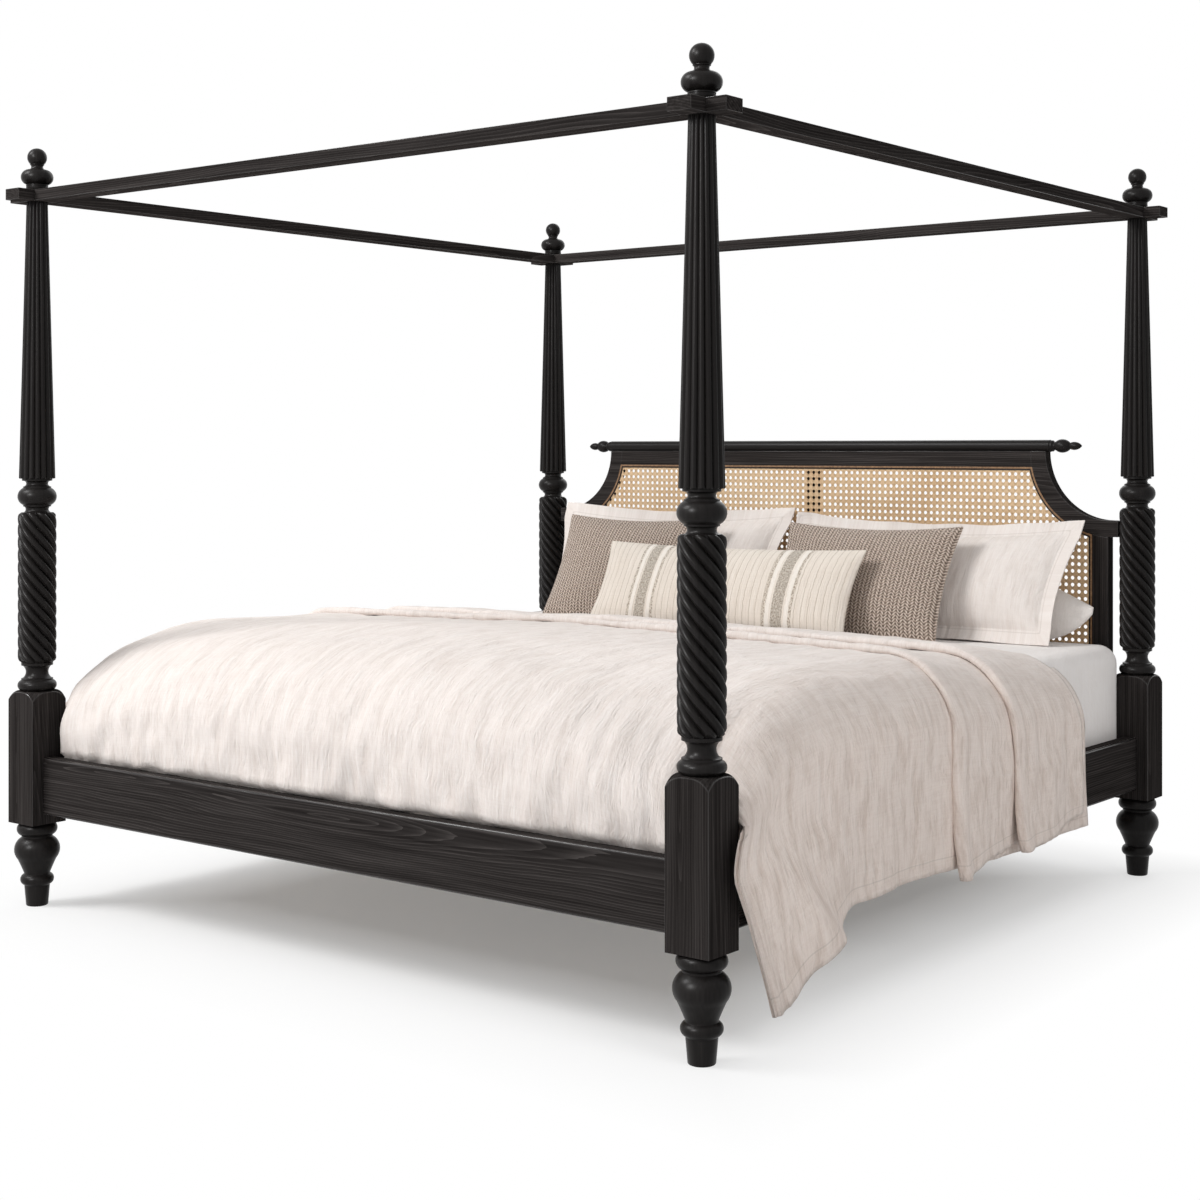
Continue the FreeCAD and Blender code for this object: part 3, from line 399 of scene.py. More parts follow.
# herringbone of twisted yarn in upright columns
def makeTaupeWeave():
    material, tree, shader, cloth = clothBase("taupeWeave", 300.0, 0.2)[:4]
    parts = addNode(tree, "ShaderNodeSeparateXYZ")
    tree.links.new(cloth, parts.inputs[0])
    waver = noiseNode(tree, stretched(tree, cloth, (14.0, 14.0, 1.0)), 1.0, 2.0)
    run = mathNode(tree, "MULTIPLY_ADD", waver, 0.012, parts.outputs[0])
    zigzag = mathNode(tree, "PINGPONG", run, 0.013)
    rise = mathNode(tree, "MULTIPLY_ADD", zigzag, 0.9, parts.outputs[1])
    yarn = mathNode(tree, "SINE", mathNode(tree, "MULTIPLY", rise, 2 * math.pi / 0.0095))
    turn = mathNode(tree, "COSINE", mathNode(tree, "MULTIPLY", run, 2 * math.pi / 0.013))
    speck = noiseNode(tree, stretched(tree, cloth, (170.0, 170.0, 1.0)), 1.0, 2.0)
    grain = mathNode(tree, "MULTIPLY_ADD", speck, 0.9, mathNode(tree, "MULTIPLY", yarn, 0.22))
    height = mathNode(tree, "MULTIPLY_ADD", turn, -0.16, grain)
    tones = [(0.14, (0.095, 0.068, 0.050)), (0.45, (0.31, 0.238, 0.190)), (0.76, (0.66, 0.555, 0.480))]
    # the colour follows the height: random specks of tone, and painted shade in the low places of the yarns and the
    # columns
    base = rampNode(tree, height, tones)
    tree.links.new(base, shader.inputs["Base Color"])
    tree.links.new(bumpFrom(tree, height, 0.6, 0.0035), shader.inputs["Normal"])
    return material


lumbarBands = {"middle": 0.255, "core": 0.020, "ridge": 0.034, "dotted": 0.047, "rib": 0.023}


# cream ribs and two taupe bands, each between cream ridges and lines of brown tufts
def makeBandedWeave():
    material, tree, shader, cloth, weave = clothBase("bandedWeave", 300.0, 0.2)[:5]
    parts = addNode(tree, "ShaderNodeSeparateXYZ")
    tree.links.new(cloth, parts.inputs[0])
    waver = noiseNode(tree, stretched(tree, cloth, (30.0, 60.0, 1.0)), 1.0, 2.0)
    run = mathNode(tree, "MULTIPLY_ADD", waver, 0.006, parts.outputs[0])
    rib = mathNode(tree, "SINE", mathNode(tree, "MULTIPLY", run, 2 * math.pi / lumbarBands["rib"]))
    fineRib = mathNode(tree, "SINE", mathNode(tree, "MULTIPLY", run, 2 * math.pi / 0.0076))
    # painted shade along the bottom of each furrow between the ribs
    furrowShade = mathNode(tree, "LESS_THAN", rib, -0.93)
    fromCentre = mathNode(tree, "ABSOLUTE", run)
    fromMiddle = mathNode(tree, "ABSOLUTE", mathNode(tree, "SUBTRACT", fromCentre, lumbarBands["middle"]))
    core = mathNode(tree, "LESS_THAN", fromMiddle, lumbarBands["core"])
    stripes = []
    for key, half in (("ridge", 0.007), ("dotted", 0.005)):
        off = mathNode(tree, "ABSOLUTE", mathNode(tree, "SUBTRACT", fromMiddle, lumbarBands[key]))
        stripes.append(mathNode(tree, "LESS_THAN", off, half))
    ridge, dotted = stripes
    tufts = noiseNode(tree, stretched(tree, cloth, (190.0, 170.0, 1.0)), 1.0, 2.0)
    cream = rampNode(tree, weave.outputs["Slub"], [(0.3, (0.68, 0.60, 0.52)), (0.7, (0.83, 0.765, 0.69))])
    ribbed = mixColours(tree, mathNode(tree, "MULTIPLY", furrowShade, 0.5), cream, (0.38, 0.31, 0.24))
    taupe = rampNode(tree, tufts, [(0.35, (0.30, 0.255, 0.205)), (0.65, (0.60, 0.54, 0.47))])
    banded = mixColours(tree, core, ribbed, taupe)
    tufted = rampNode(tree, tufts, [(0.38, (0.33, 0.27, 0.21)), (0.60, (0.70, 0.63, 0.55))])
    lined = mixColours(tree, dotted, banded, tufted)
    ridged = mixColours(tree, ridge, lined, (0.86, 0.80, 0.73))
    tree.links.new(ridged, shader.inputs["Base Color"])
    raised = mathNode(tree, "ADD", ridge, dotted)
    fineRibs = mathNode(tree, "MULTIPLY", fineRib, 0.2)
    relief = mathNode(tree, "MULTIPLY_ADD", raised, mathNode(tree, "MULTIPLY", tufts, 2.0), fineRibs)
    height = mathNode(tree, "ADD", mathNode(tree, "MULTIPLY_ADD", rib, 0.3, weave.outputs["Height"]), relief)
    tree.links.new(bumpFrom(tree, height, 0.5, 0.0028), shader.inputs["Normal"])
    return material


taupeWeave = makeTaupeWeave()
bandedWeave = makeBandedWeave()
print("materials made,", len(bpy.data.materials))


def makePiece(name, bm, material, body="bed", sharp=25):
    mesh = bpy.data.meshes.new(name)
    arris = bm.faces.layers.float.get("arris")
    for edge in bm.edges:
        edge.smooth = edge.calc_face_angle(0.0) < math.radians(sharp)
        if arris and len({face[arris] for face in edge.link_faces}) > 1:
            edge.smooth = False  # flat faces stay flat beside their rounded arrises
    for face in bm.faces:
        face.smooth = True
    bm.to_mesh(mesh)
    bm.free()
    mesh.materials.append(material)
    piece = bpy.data.objects.new(name, mesh)
    scene.collection.objects.link(piece)
    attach(piece, body)
    return piece


def standFor(piece, node):
    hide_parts(node)
    return piece


def arcPoints(start, middle, end, count):
    (ax, ay), (bx, by), (cx, cy) = start, middle, end
    d = 2 * (ax * (by - cy) + bx * (cy - ay) + cx * (ay - by))
    ux = ((ax * ax + ay * ay) * (by - cy) + (bx * bx + by * by) * (cy - ay) + (cx * cx + cy * cy) * (ay - by)) / d
    uy = ((ax * ax + ay * ay) * (cx - bx) + (bx * bx + by * by) * (ax - cx) + (cx * cx + cy * cy) * (bx - ax)) / d
    radius = math.hypot(ax - ux, ay - uy)
    first = math.atan2(ay - uy, ax - ux)
    mid = (math.atan2(by - uy, bx - ux) - first) % (2 * math.pi)
    last = (math.atan2(cy - uy, cx - ux) - first) % (2 * math.pi)
    if mid > last:
        last -= 2 * math.pi
    points = []
    for i in range(1, count + 1):
        turn = first + last * i / count
        points.append((ux + radius * math.cos(turn), uy + radius * math.sin(turn)))
    return points


# a step is (radius, height), or (middle radius, middle height, radius, height) for an arc, in millimetres
def turnedShape(steps, segments=56, arcSteps=9):
    outline = [steps[0]]
    for step in steps[1:]:
        if len(step) == 2:
            outline.append(step)
        else:
            outline += arcPoints(outline[-1], step[:2], step[2:], arcSteps)
    bm = bmesh.new()
    ends = [(0.0, outline[0][1]), *outline, (0.0, outline[-1][1])]
    verts = [bm.verts.new((radius / 1000, 0.0, height / 1000)) for radius, height in ends]
    edges = [bm.edges.new(pair) for pair in zip(verts, verts[1:])]
    bmesh.ops.spin(
        bm, geom=verts + edges, cent=(0, 0, 0), axis=(0, 0, 1), angle=2 * math.pi, steps=segments, use_merge=True
    )
    bmesh.ops.remove_doubles(bm, verts=bm.verts, dist=1e-6)
    bmesh.ops.recalc_face_normals(bm, faces=bm.faces)
    return bm


def cornerPlace(corner):
    low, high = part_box("foot_" + corner)
    return Vector(((low.x + high.x) / 2, (low.y + high.y) / 2, 0.0))


def placeAtCorners(kind, bm, material, body="bed", sharp=40):
    for corner in corners:
        copy = bm.copy()
        bmesh.ops.translate(copy, verts=copy.verts, vec=cornerPlace(corner))
        name = kind + "_" + corner
        owner = "lift_finial_" + corner if body == "finial" else body
        standFor(makePiece(name + "_turned", copy, material, owner, sharp), name)
    bm.free()


footSteps = [
    (26.8, 0), (28.5, 2), (33.0, 54), (34.2, 55),
    (34.5, 55.6), (43.5, 69.5, 34.5, 83.4), (33.8, 84.0), (33.5, 86.0),
    (40.0, 102.0, 50.0, 124.0), (59.0, 151.5, 41.0, 181.0),
    (40.0, 182.0), (40.0, 186.0), (42.5, 187.6),
    (52.5, 204.0, 42.5, 219.5), (41.0, 221.0),
]
placeAtCorners("foot", turnedShape(footSteps), turnedWood["z"])


# square block whose top is turned down to a pommel shoulder
blockSize = {"cells": 26, "shoulder": 0.0016, "pommelR": 0.049, "corner": 0.0265, "fall": 0.0365, "lip": 0.0006}


def makeBlock():
    low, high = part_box("block_foot_right")
    half = (high.x - low.x) / 2
    bm = bmesh.new()
    bmesh.ops.create_grid(bm, x_segments=blockSize["cells"], y_segments=blockSize["cells"], size=half)
    for vert in bm.verts:
        reach = max(0.0, vert.co.xy.length - blockSize["pommelR"])
        fall = blockSize["fall"] * (reach / blockSize["corner"]) ** 2 * 0.68
        vert.co.z = high.z - fall - blockSize["lip"] * (reach > 0)
    rim = [edge for edge in bm.edges if edge.is_boundary]
    walls = bmesh.ops.extrude_edge_only(bm, edges=rim)
    for vert in onlyVerts(walls["geom"]):
        vert.co.z = low.z
    base = [edge for edge in bm.edges if edge.is_boundary]
    bmesh.ops.contextual_create(bm, geom=base)
    bmesh.ops.recalc_face_normals(bm, faces=bm.faces)
    arrises = []
    for edge in bm.edges:
        a, b = (vert.co for vert in edge.verts)
        upright = abs(a.x - b.x) < 1e-6 and abs(a.y - b.y) < 1e-6
        if upright and abs(abs(a.x) - half) < 1e-6 and abs(abs(a.y) - half) < 1e-6:
            arrises.append(edge)
        elif edge in rim:
            arrises.append(edge)
    arris = bm.faces.layers.float.new("arris")
    cut = bmesh.ops.bevel(
        bm, geom=arrises, offset=blockSize["shoulder"], offset_type="OFFSET", segments=2, profile=0.5,
        affect="EDGES", material=-1, clamp_overlap=True,
    )
    for face in cut["faces"]:
        face[arris] = 1.0
    return bm


placeAtCorners("block", makeBlock(), blackWood["z"], sharp=18)

twist = {
    "strands": 9, "crest": 0.0500, "depth": 0.0112, "lead": 0.297, "points": 9, "stepDeg": 6.0, "height": 0.542,
    "start": 0.075, "length": 0.398, "round": 0.015, "endCut": 0.16, "ropeR": 0.0405,
}


# the rope is one ring of rounded strands, screwed upwards to the left
def makeTwistColumn():
    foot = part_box("twist_column_foot_right")[1].z - twist["height"]
    lowerSteps = [
        (41.0, 0.0), (42.0, 0.8), (50.5, 14.0, 42.0, 27.2), (41.0, 28.0), (41.0, 32.0), (37.5, 32.6),
        (29.0, 49.0, 37.5, 66.4), (41.0, 67.2), (41.0, 74.4), (39.5, 75.2), (36.0, 75.6), (36.0, 80.0),
    ]
    upperSteps = [
        (34.0, 466.0), (37.0, 473.0), (29.5, 481.0, 33.0, 488.6), (36.0, 489.0), (36.0, 492.6), (36.6, 493.0),
        (50.5, 515.5, 36.6, 538.0), (36.0, 538.4), (36.0, 542.0),
    ]
    bm = turnedShape(lowerSteps)
    upper = turnedShape(upperSteps)
    mesh = bpy.data.meshes.new("upperTurning")
    upper.to_mesh(mesh)
    upper.free()
    bm.from_mesh(mesh)
    bpy.data.meshes.remove(mesh)
    start, length = twist["start"], twist["length"]
    ring = []
    for strand in range(twist["strands"]):
        for i in range(twist["points"]):
            across = -math.cos(math.pi * i / twist["points"])  # points crowd into the grooves
            radius = twist["crest"] - twist["depth"] * across * across
            turn = (strand + (across + 1) / 2) * 2 * math.pi / twist["strands"]
            ring.append(bm.verts.new((radius * math.cos(turn), radius * math.sin(turn), start)))
    edges = [bm.edges.new((ring[i], ring[(i + 1) % len(ring)])) for i in range(len(ring))]
    bm.faces.new(ring)
    turnTotal = -2 * math.pi * length / twist["lead"]
    steps = round(abs(math.degrees(turnTotal)) / twist["stepDeg"])
    spun = bmesh.ops.spin(
        bm, geom=edges, cent=(0, 0, 0), axis=(0, 0, 1), dvec=(0, 0, length / steps), angle=turnTotal, steps=steps
    )
    bmesh.ops.contextual_create(bm, geom=onlyEdges(spun["geom_last"]))
    bmesh.ops.recalc_face_normals(bm, faces=bm.faces)
    for vert in bm.verts:
        if vert.co.xy.length <= twist["ropeR"] or not start - 1e-5 < vert.co.z < start + length + 1e-5:
            continue  # only the rope is rounded at its ends
        end = min(vert.co.z - start, start + length - vert.co.z)
        if end < twist["round"]:
            share = 1 - twist["endCut"] * (1 - math.sqrt(max(0.0, 1 - (1 - end / twist["round"]) ** 2)))
            vert.co.x *= share
            vert.co.y *= share
    bmesh.ops.translate(bm, verts=bm.verts, vec=(0, 0, foot))
    return bm


placeAtCorners("twist_column", makeTwistColumn(), turnedWood["z"])

reeds = {"count": 16, "points": 7, "lowR": 0.047, "topR": 0.0275, "depth": 0.13}


# sixteen convex reeds that taper to the canopy
def makeReededColumn():
    low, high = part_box("reeded_column_foot_right")
    neckSteps = [
        (33.0, 0.0), (33.0, 1.0), (28.0, 8.0, 32.5, 14.5), (36.0, 15.0), (39.0, 15.6), (39.0, 20.4), (38.0, 21.2),
        (36.0, 22.0),
    ]
    bm = turnedShape(neckSteps)
    bmesh.ops.translate(bm, verts=bm.verts, vec=(0, 0, low.z))
    start = low.z + 0.021
    ring = []
    for reed in range(reeds["count"]):
        for i in range(reeds["points"]):
            across = -math.cos(math.pi * i / reeds["points"])
            share = 1 - reeds["depth"] * across * across
            turn = (reed + (across + 1) / 2) * 2 * math.pi / reeds["count"]
            radius = reeds["lowR"] * share
            ring.append(bm.verts.new((radius * math.cos(turn), radius * math.sin(turn), start)))
    edges = [bm.edges.new((ring[i], ring[(i + 1) % len(ring)])) for i in range(len(ring))]
    bm.faces.new(ring)
    bevelIn = bmesh.ops.extrude_edge_only(bm, edges=edges)["geom"]
    rims = onlyVerts(bevelIn)
    for vert in ring:
        vert.co.x *= 0.965
        vert.co.y *= 0.965
    bmesh.ops.translate(bm, verts=rims, vec=(0, 0, 0.0015))
    shaft = bmesh.ops.extrude_edge_only(bm, edges=onlyEdges(bevelIn))["geom"]
    taper = reeds["topR"] / reeds["lowR"]
    for vert in onlyVerts(shaft):
        vert.co = Vector((vert.co.x * taper, vert.co.y * taper, high.z))
    bmesh.ops.contextual_create(bm, geom=onlyEdges(shaft))
    bmesh.ops.recalc_face_normals(bm, faces=bm.faces)
    return bm


placeAtCorners("reeded_column", makeReededColumn(), turnedWood["z"])

finialSteps = [
    (28.0, 0.0), (28.5, 0.6), (28.5, 11.6), (27.0, 12.2), (27.0, 13.2), (28.6, 13.8), (28.6, 16.4), (27.8, 17.2),
    (42.0, 35.5, 24.0, 57.0), (23.0, 57.4), (21.6, 57.6), (15.4, 65.0, 17.2, 69.2), (18.4, 69.6), (18.4, 71.0),
    (17.2, 71.4), (18.2, 72.0), (25.5, 88.5, 0.4, 114.0),
]


def makeFinial():
    bm = turnedShape(finialSteps, arcSteps=12)
    bmesh.ops.translate(bm, verts=bm.verts, vec=(0, 0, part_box("finial_foot_right")[0].z))
    return bm


placeAtCorners("finial", makeFinial(), turnedWood["z"], "finial")
print("posts turned")

eased = {"rail": 0.005, "canopy": 0.0010, "board": 0.0015}


def bevelAll(bm, offset, limit=30):
    bmesh.ops.recalc_face_normals(bm, faces=bm.faces)
    edges = [edge for edge in bm.edges if edge.calc_face_angle(0.0) > math.radians(limit)]
    arris = bm.faces.layers.float.new("arris")
    cut = bmesh.ops.bevel(
        bm, geom=edges, offset=offset, offset_type="OFFSET", segments=4, profile=0.5,
        affect="EDGES", material=-1, clamp_overlap=True,
    )
    for face in cut["faces"]:
        face[arris] = 1.0
    return bm


def barShape(low, high):
    bm = bmesh.new()
    bmesh.ops.create_cube(bm, size=1.0)
    bmesh.ops.scale(bm, vec=high - low, verts=bm.verts)
    bmesh.ops.translate(bm, vec=(low + high) / 2, verts=bm.verts)
    return bm


# a flat outline in X and Z, given its thickness along Y
def boardShape(outline, front, back):
    bm = bmesh.new()
    face = bm.faces.new([bm.verts.new((x, front, z)) for x, z in outline])
    pulled = bmesh.ops.extrude_face_region(bm, geom=[face])["geom"]
    bmesh.ops.translate(bm, vec=(0, back - front, 0), verts=onlyVerts(pulled))
    return bm


def easedPiece(node, shape, along, kind):
    piece = makePiece(node + "_eased", bevelAll(shape, eased[kind]), blackWood[along])
    return standFor(piece, node)


for side in ("foot", "head", "left", "right"):
    along = "x" if side in ("foot", "head") else "y"
    node = "bed_rail_" + side
    easedPiece(node, barShape(*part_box(node)), along, "rail")


# canopy rails are halved where they cross over a post
def makeCanopyRail(node, along):
    low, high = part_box(node)
    middle = (low.z + high.z) / 2
    width = high[1 - along] - low[1 - along]
    postAt = abs(cornerPlace("foot_right")[along])
    notchZ = high.z if along == 0 else low.z
    plainZ = low.z if along == 0 else high.z
    spots = []
    for place in (-postAt, postAt):
        near, far = place - width / 2, place + width / 2
        spots += [(near, notchZ), (near, middle), (far, middle), (far, notchZ)]
    outline = [(low[along], plainZ), (low[along], notchZ), *spots, (high[along], notchZ), (high[along], plainZ)]
    bm = boardShape(outline, low[1 - along], high[1 - along])
    if along == 1:
        bmesh.ops.transform(bm, matrix=Matrix(((0, 1, 0, 0), (1, 0, 0, 0), (0, 0, 1, 0), (0, 0, 0, 1))), verts=bm.verts)
    return bm


for side in ("foot", "head", "left", "right"):
    along = 0 if side in ("foot", "head") else 1
    node = "canopy_rail_" + side
    easedPiece(node, makeCanopyRail(node, along), "xy"[along], "canopy")
print("rails eased")

# headboard sizes, read from the frame
bracketLow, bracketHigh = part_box("headboard_bracket_right")
topLow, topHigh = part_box("headboard_top_rail")
stileLow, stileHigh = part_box("headboard_stile_right")
board = {
    "front": bracketLow.y,
    "back": bracketHigh.y,
    "bandR": bracketHigh.z - bracketLow.z,
    "sweepR": bracketHigh.z - bracketLow.z - (topHigh.z - topLow.z),
    "sweepX": bracketLow.x + bracketHigh.z - bracketLow.z,
    "sweepZ": bracketHigh.z,
    "arcSteps": 28,
}


def sweepArc(radius, fromX, toX, count):
    first = math.acos(max(-1.0, min(1.0, (board["sweepX"] - fromX) / radius)))
    last = math.acos(max(-1.0, min(1.0, (board["sweepX"] - toX) / radius)))
    points = []
    for i in range(count + 1):
        turn = first + (last - first) * i / count
        points.append((board["sweepX"] - radius * math.cos(turn), board["sweepZ"] - radius * math.sin(turn)))
    return points


def mirrored(outline):
    return [(-x, z) for x, z in reversed(outline)]


def makeHeadboard():
    count = board["arcSteps"]
    bandR, sweepR, sweepX, sweepZ = (board[key] for key in ("bandR", "sweepR", "sweepX", "sweepZ"))
    inner = sweepArc(sweepR, sweepX - sweepR, sweepX, count)
    outer = sweepArc(bandR, sweepX - bandR, sweepX, count)
    endX = bracketHigh.x
    bracket = inner + [(endX, sweepZ - sweepR), (endX, sweepZ - bandR)] + outer[::-1]
    stileTop = sweepArc(bandR, stileHigh.x, stileLow.x, 10)
    stile = [(stileLow.x, stileLow.z), (stileHigh.x, stileLow.z), *stileTop]
    lowerX = sweepX - math.sqrt(bandR ** 2 - (sweepZ - topLow.z) ** 2)
    railEnd = sweepArc(bandR, lowerX, sweepX - bandR, 8)
    topRail = mirrored(railEnd) + railEnd
    for name, outline, along in (
        ("headboard_bracket", bracket, "x"),
        ("headboard_stile", stile, "z"),
    ):
        for side in ("right", "left"):
            node = name + "_" + side
            shape = boardShape(outline if side == "right" else mirrored(outline), board["front"], board["back"])
            easedPiece(node, shape, along, "board")
    easedPiece("headboard_top_rail", boardShape(topRail, board["front"], board["back"]), "x", "board")
    easedPiece("headboard_bottom_rail", barShape(*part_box("headboard_bottom_rail")), "x", "board")


makeHeadboard()

acornSteps = [
    (15.0, -2.0), (16.5, 0.0), (16.5, 5.6), (15.2, 7.0), (12.6, 13.0, 16.0, 19.0), (20.0, 36.0, 9.0, 59.0),
    (9.6, 59.6), (12.0, 74.0, 1.2, 95.0), (0.4, 95.2),
]


# round roll along the top, with turned ends
def makeRoll():
    low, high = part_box("headboard_roll")
    radius = (high.y - low.y) / 2
    length = (high.x - low.x) * 500
    across = Matrix.Rotation(math.radians(90), 4, "Y")
    centre = Vector((0.0, (low.y + high.y) / 2, high.z - radius))
    size = radius * 1000
    roll = turnedShape([(size - 2.5, -length), (size, -length + 2.5), (size, length - 2.5), (size - 2.5, length)])
    bmesh.ops.transform(roll, matrix=Matrix.Translation(centre) @ across, verts=roll.verts)
    standFor(makePiece("headboard_roll_turned", roll, turnedWood["x"]), "headboard_roll")
    for side, sign in (("right", 1), ("left", -1)):
        acorn = turnedShape(acornSteps, 40)
        turn = Matrix.Rotation(math.radians(90 * sign), 4, "Y")
        end = Vector((sign * high.x, centre.y, centre.z))
        bmesh.ops.transform(acorn, matrix=Matrix.Translation(end) @ turn, verts=acorn.verts)
        node = "roll_acorn_" + side
        standFor(makePiece(node + "_turned", acorn, turnedWood["x"]), node)


makeRoll()


# one cell of the cane is a square with an eight-sided hole, repeated and trimmed to the frame
def makeCanePanel():
    low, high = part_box("cane_panel")
    pitch, hole, corner = caneWeave["pitch"], caneWeave["hole"], caneWeave["corner"]
    half = pitch / 2
    bm = bmesh.new()
    rim = [(-half, -half), (0, -half), (half, -half), (half, 0), (half, half), (0, half), (-half, half), (-half, 0)]
    outer = [bm.verts.new((x, 0, z)) for x, z in rim]
    inner = []
    for i in range(8):
        turn = math.radians(225 + 45 * i)
        reach = corner if i % 2 == 0 else hole
        inner.append(bm.verts.new((reach * math.cos(turn), 0, reach * math.sin(turn))))
    for i in range(8):
        j = (i + 1) % 8
        bm.faces.new((outer[i], outer[j], inner[j], inner[i]))
    columns = math.ceil((high.x - low.x) / pitch)
    rows = math.ceil((high.z - low.z) / pitch) + 1
    startX = -(columns - 1) * half
    startZ = high.z - caneWeave["firstRow"] - (rows - 1) * pitch  # slots show below the reed
    bmesh.ops.translate(bm, verts=bm.verts, vec=(startX, low.y, startZ))
    for count, step in ((columns, Vector((pitch, 0, 0))), (rows, Vector((0, 0, pitch)))):
        strip = bm.faces[:]
        for i in range(1, count):
            made = bmesh.ops.duplicate(bm, geom=strip)["geom"]
            bmesh.ops.translate(bm, verts=onlyVerts(made), vec=step * i)
    bmesh.ops.remove_doubles(bm, verts=bm.verts, dist=1e-5)
    for place, way in ((low, (-1, 0, 0)), (high, (1, 0, 0)), (low, (0, 0, -1)), (high, (0, 0, 1))):
        whole = bm.verts[:] + bm.edges[:] + bm.faces[:]
        bmesh.ops.bisect_plane(bm, geom=whole, plane_co=place, plane_no=way, clear_outer=True)
    room = board["bandR"] - 0.005  # its edge ends inside the sweeps
    beyond = []
    for face in bm.faces:
        middle = face.calc_center_median()
        if math.hypot(abs(middle.x) - board["sweepX"], middle.z - board["sweepZ"]) < room:
            beyond.append(face)
    bmesh.ops.delete(bm, geom=beyond, context="FACES")
    bmesh.ops.recalc_face_normals(bm, faces=bm.faces)
    bmesh.ops.solidify(bm, geom=bm.faces[:], thickness=caneWeave["thick"])
    panel = makePiece("cane_panel_woven", bm, wovenCane)
    return standFor(panel, "cane_panel")


makeCanePanel()

caneLand = {"width": 0.010, "gap": 0.0015, "depth": 0.008}


# dark land of the rebate, which shows through the outermost holes
def makeCaneLand():
    low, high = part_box("cane_panel")
    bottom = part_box("headboard_bottom_rail")[1].z

    def outline(inset):
        radius = board["bandR"] + inset
        x, z = stileLow.x - inset, topLow.z - inset
        upper = board["sweepX"] - math.sqrt(radius ** 2 - (board["sweepZ"] - z) ** 2)
        half = [(x, bottom + inset), *sweepArc(radius, x, upper, board["arcSteps"])]
        return half + mirrored(half)

    bm = bmesh.new()
    loops = []
    for inset in (0.0, caneLand["width"]):
        verts = [bm.verts.new((x, high.y + caneLand["gap"], z)) for x, z in outline(inset)]
        loops += [bm.edges.new((verts[i], verts[(i + 1) % len(verts)])) for i in range(len(verts))]
    bmesh.ops.bridge_loops(bm, edges=loops)
    bmesh.ops.recalc_face_normals(bm, faces=bm.faces)
    bmesh.ops.solidify(bm, geom=bm.faces[:], thickness=caneLand["depth"])
    bmesh.ops.recalc_face_normals(bm, faces=bm.faces)
    makePiece("cane_land", bm, blackWood["x"])


makeCaneLand()


def paintNode(node, material):
    nodes[node].data.materials.clear()
    nodes[node].data.materials.append(material)


paintNode("cane_spline", caneEdge)
paintNode("headboard_muntin", blackWood["z"])
paintNode("slats", slatWood["x"])
paintNode("slat_ledgers", slatWood["y"])
paintNode("centre_beam", slatWood["y"])
paintNode("centre_legs", slatWood["z"])
for node in ("foot_studs", "column_studs", "rail_angles", "rail_screws", *("finial_pin_" + corner for corner in corners)):
    paintNode(node, zincSteel)
print("headboard, cane and base done")


# cloth helpers
def addClothMap(bm, place):
    layer = bm.loops.layers.uv.new("cloth")
    for face in bm.faces:
        for loop in face.loops:
            loop[layer].uv = place(loop.vert)


def ripple(x, y, seed):
    return noise.noise(Vector((x, y, seed)))


def swell(piece, settings):
    rest = [vert.co.copy() for vert in piece.data.vertices]
    edges = zip(piece.data.attributes["outX"].data, piece.data.attributes["outY"].data)
    rim = piece.vertex_groups.new(name="rim")  # the seam keeps its place
    rim.add([i for i, (x, y) in enumerate(edges) if x.value or y.value], 1.0, "REPLACE")
    cloth = piece.modifiers.new("swell", "CLOTH")
    cloth.settings.quality = settings["quality"]
    cloth.settings.mass = settings["mass"]
    cloth.settings.tension_stiffness = settings["tension"]
    cloth.settings.compression_stiffness = settings["tension"]
    cloth.settings.shear_stiffness = settings["shear"]
    cloth.settings.bending_stiffness = settings["bending"]
    cloth.settings.use_pressure = True
    cloth.settings.uniform_pressure_force = settings["pressure"]
    cloth.settings.effector_weights.gravity = 0.0
    cloth.settings.vertex_group_mass = "rim"
    cloth.collision_settings.use_collision = False
    cloth.point_cache.frame_start = 1
    cloth.point_cache.frame_end = settings["frames"]
    for step in range(1, settings["frames"] + 1):
        scene.frame_set(step)
    graph = bpy.context.evaluated_depsgraph_get()
    swollen = bpy.data.meshes.new_from_object(piece.evaluated_get(graph))
    for vert, start in zip(swollen.vertices, rest):
        move = vert.co - start
        if move.length > settings["cap"]:
            vert.co = start + move * (settings["cap"] / move.length)
    piece.modifiers.remove(cloth)
    old = piece.data
    piece.data = swollen
    bpy.data.meshes.remove(old)
    scene.frame_set(1)


# the loose cushions, in the order in which they lean forwards from the headboard
sewn = {"flange": 0.0, "ears": 0.0, "sag": 0.0}
sham = {"depth": 0.135, "flange": 0.041, "ears": 0.045, "round": 2.3, "material": shamLinen, "slot": "linen", "fill": 0.6}
knitted = {
    **sewn, "width": 0.60, "height": 0.375, "depth": 0.120, "ears": 0.060, "sag": 0.020, "round": 2.8,
    "material": taupeWeave, "slot": "taupe_weave", "fill": 0.7,
}
cushions = {
    "pillow_right": {
        **sewn, "width": 0.58, "height": 0.217, "depth": 0.078, "lean": 23, "round": 2.6, "droop": 0.48, "pinch": 0.43,
        "material": pillowCotton, "slot": "pillow_cotton", "fill": 0.5,
    },
    "sham_left": {**sham, "width": 0.850, "height": 0.315, "lean": 22, "sag": 0.024, "taper": 0.08, "shift": -0.012},
    "sham_right": {**sham, "width": 0.882, "height": 0.308, "lean": 26, "sag": 0.026, "taper": 0.07, "shift": 0.012},
    "cushion_left": {**knitted, "lean": 26},
    "cushion_right": {**knitted, "lean": 28},
    "lumbar_cushion": {
        **sewn, "width": 0.95, "height": 0.295, "depth": 0.120, "lean": 28, "ears": 0.038, "sag": 0.012, "round": 2.8,
        "material": bandedWeave, "slot": "banded_weave", "fill": 0.7,
    },
}
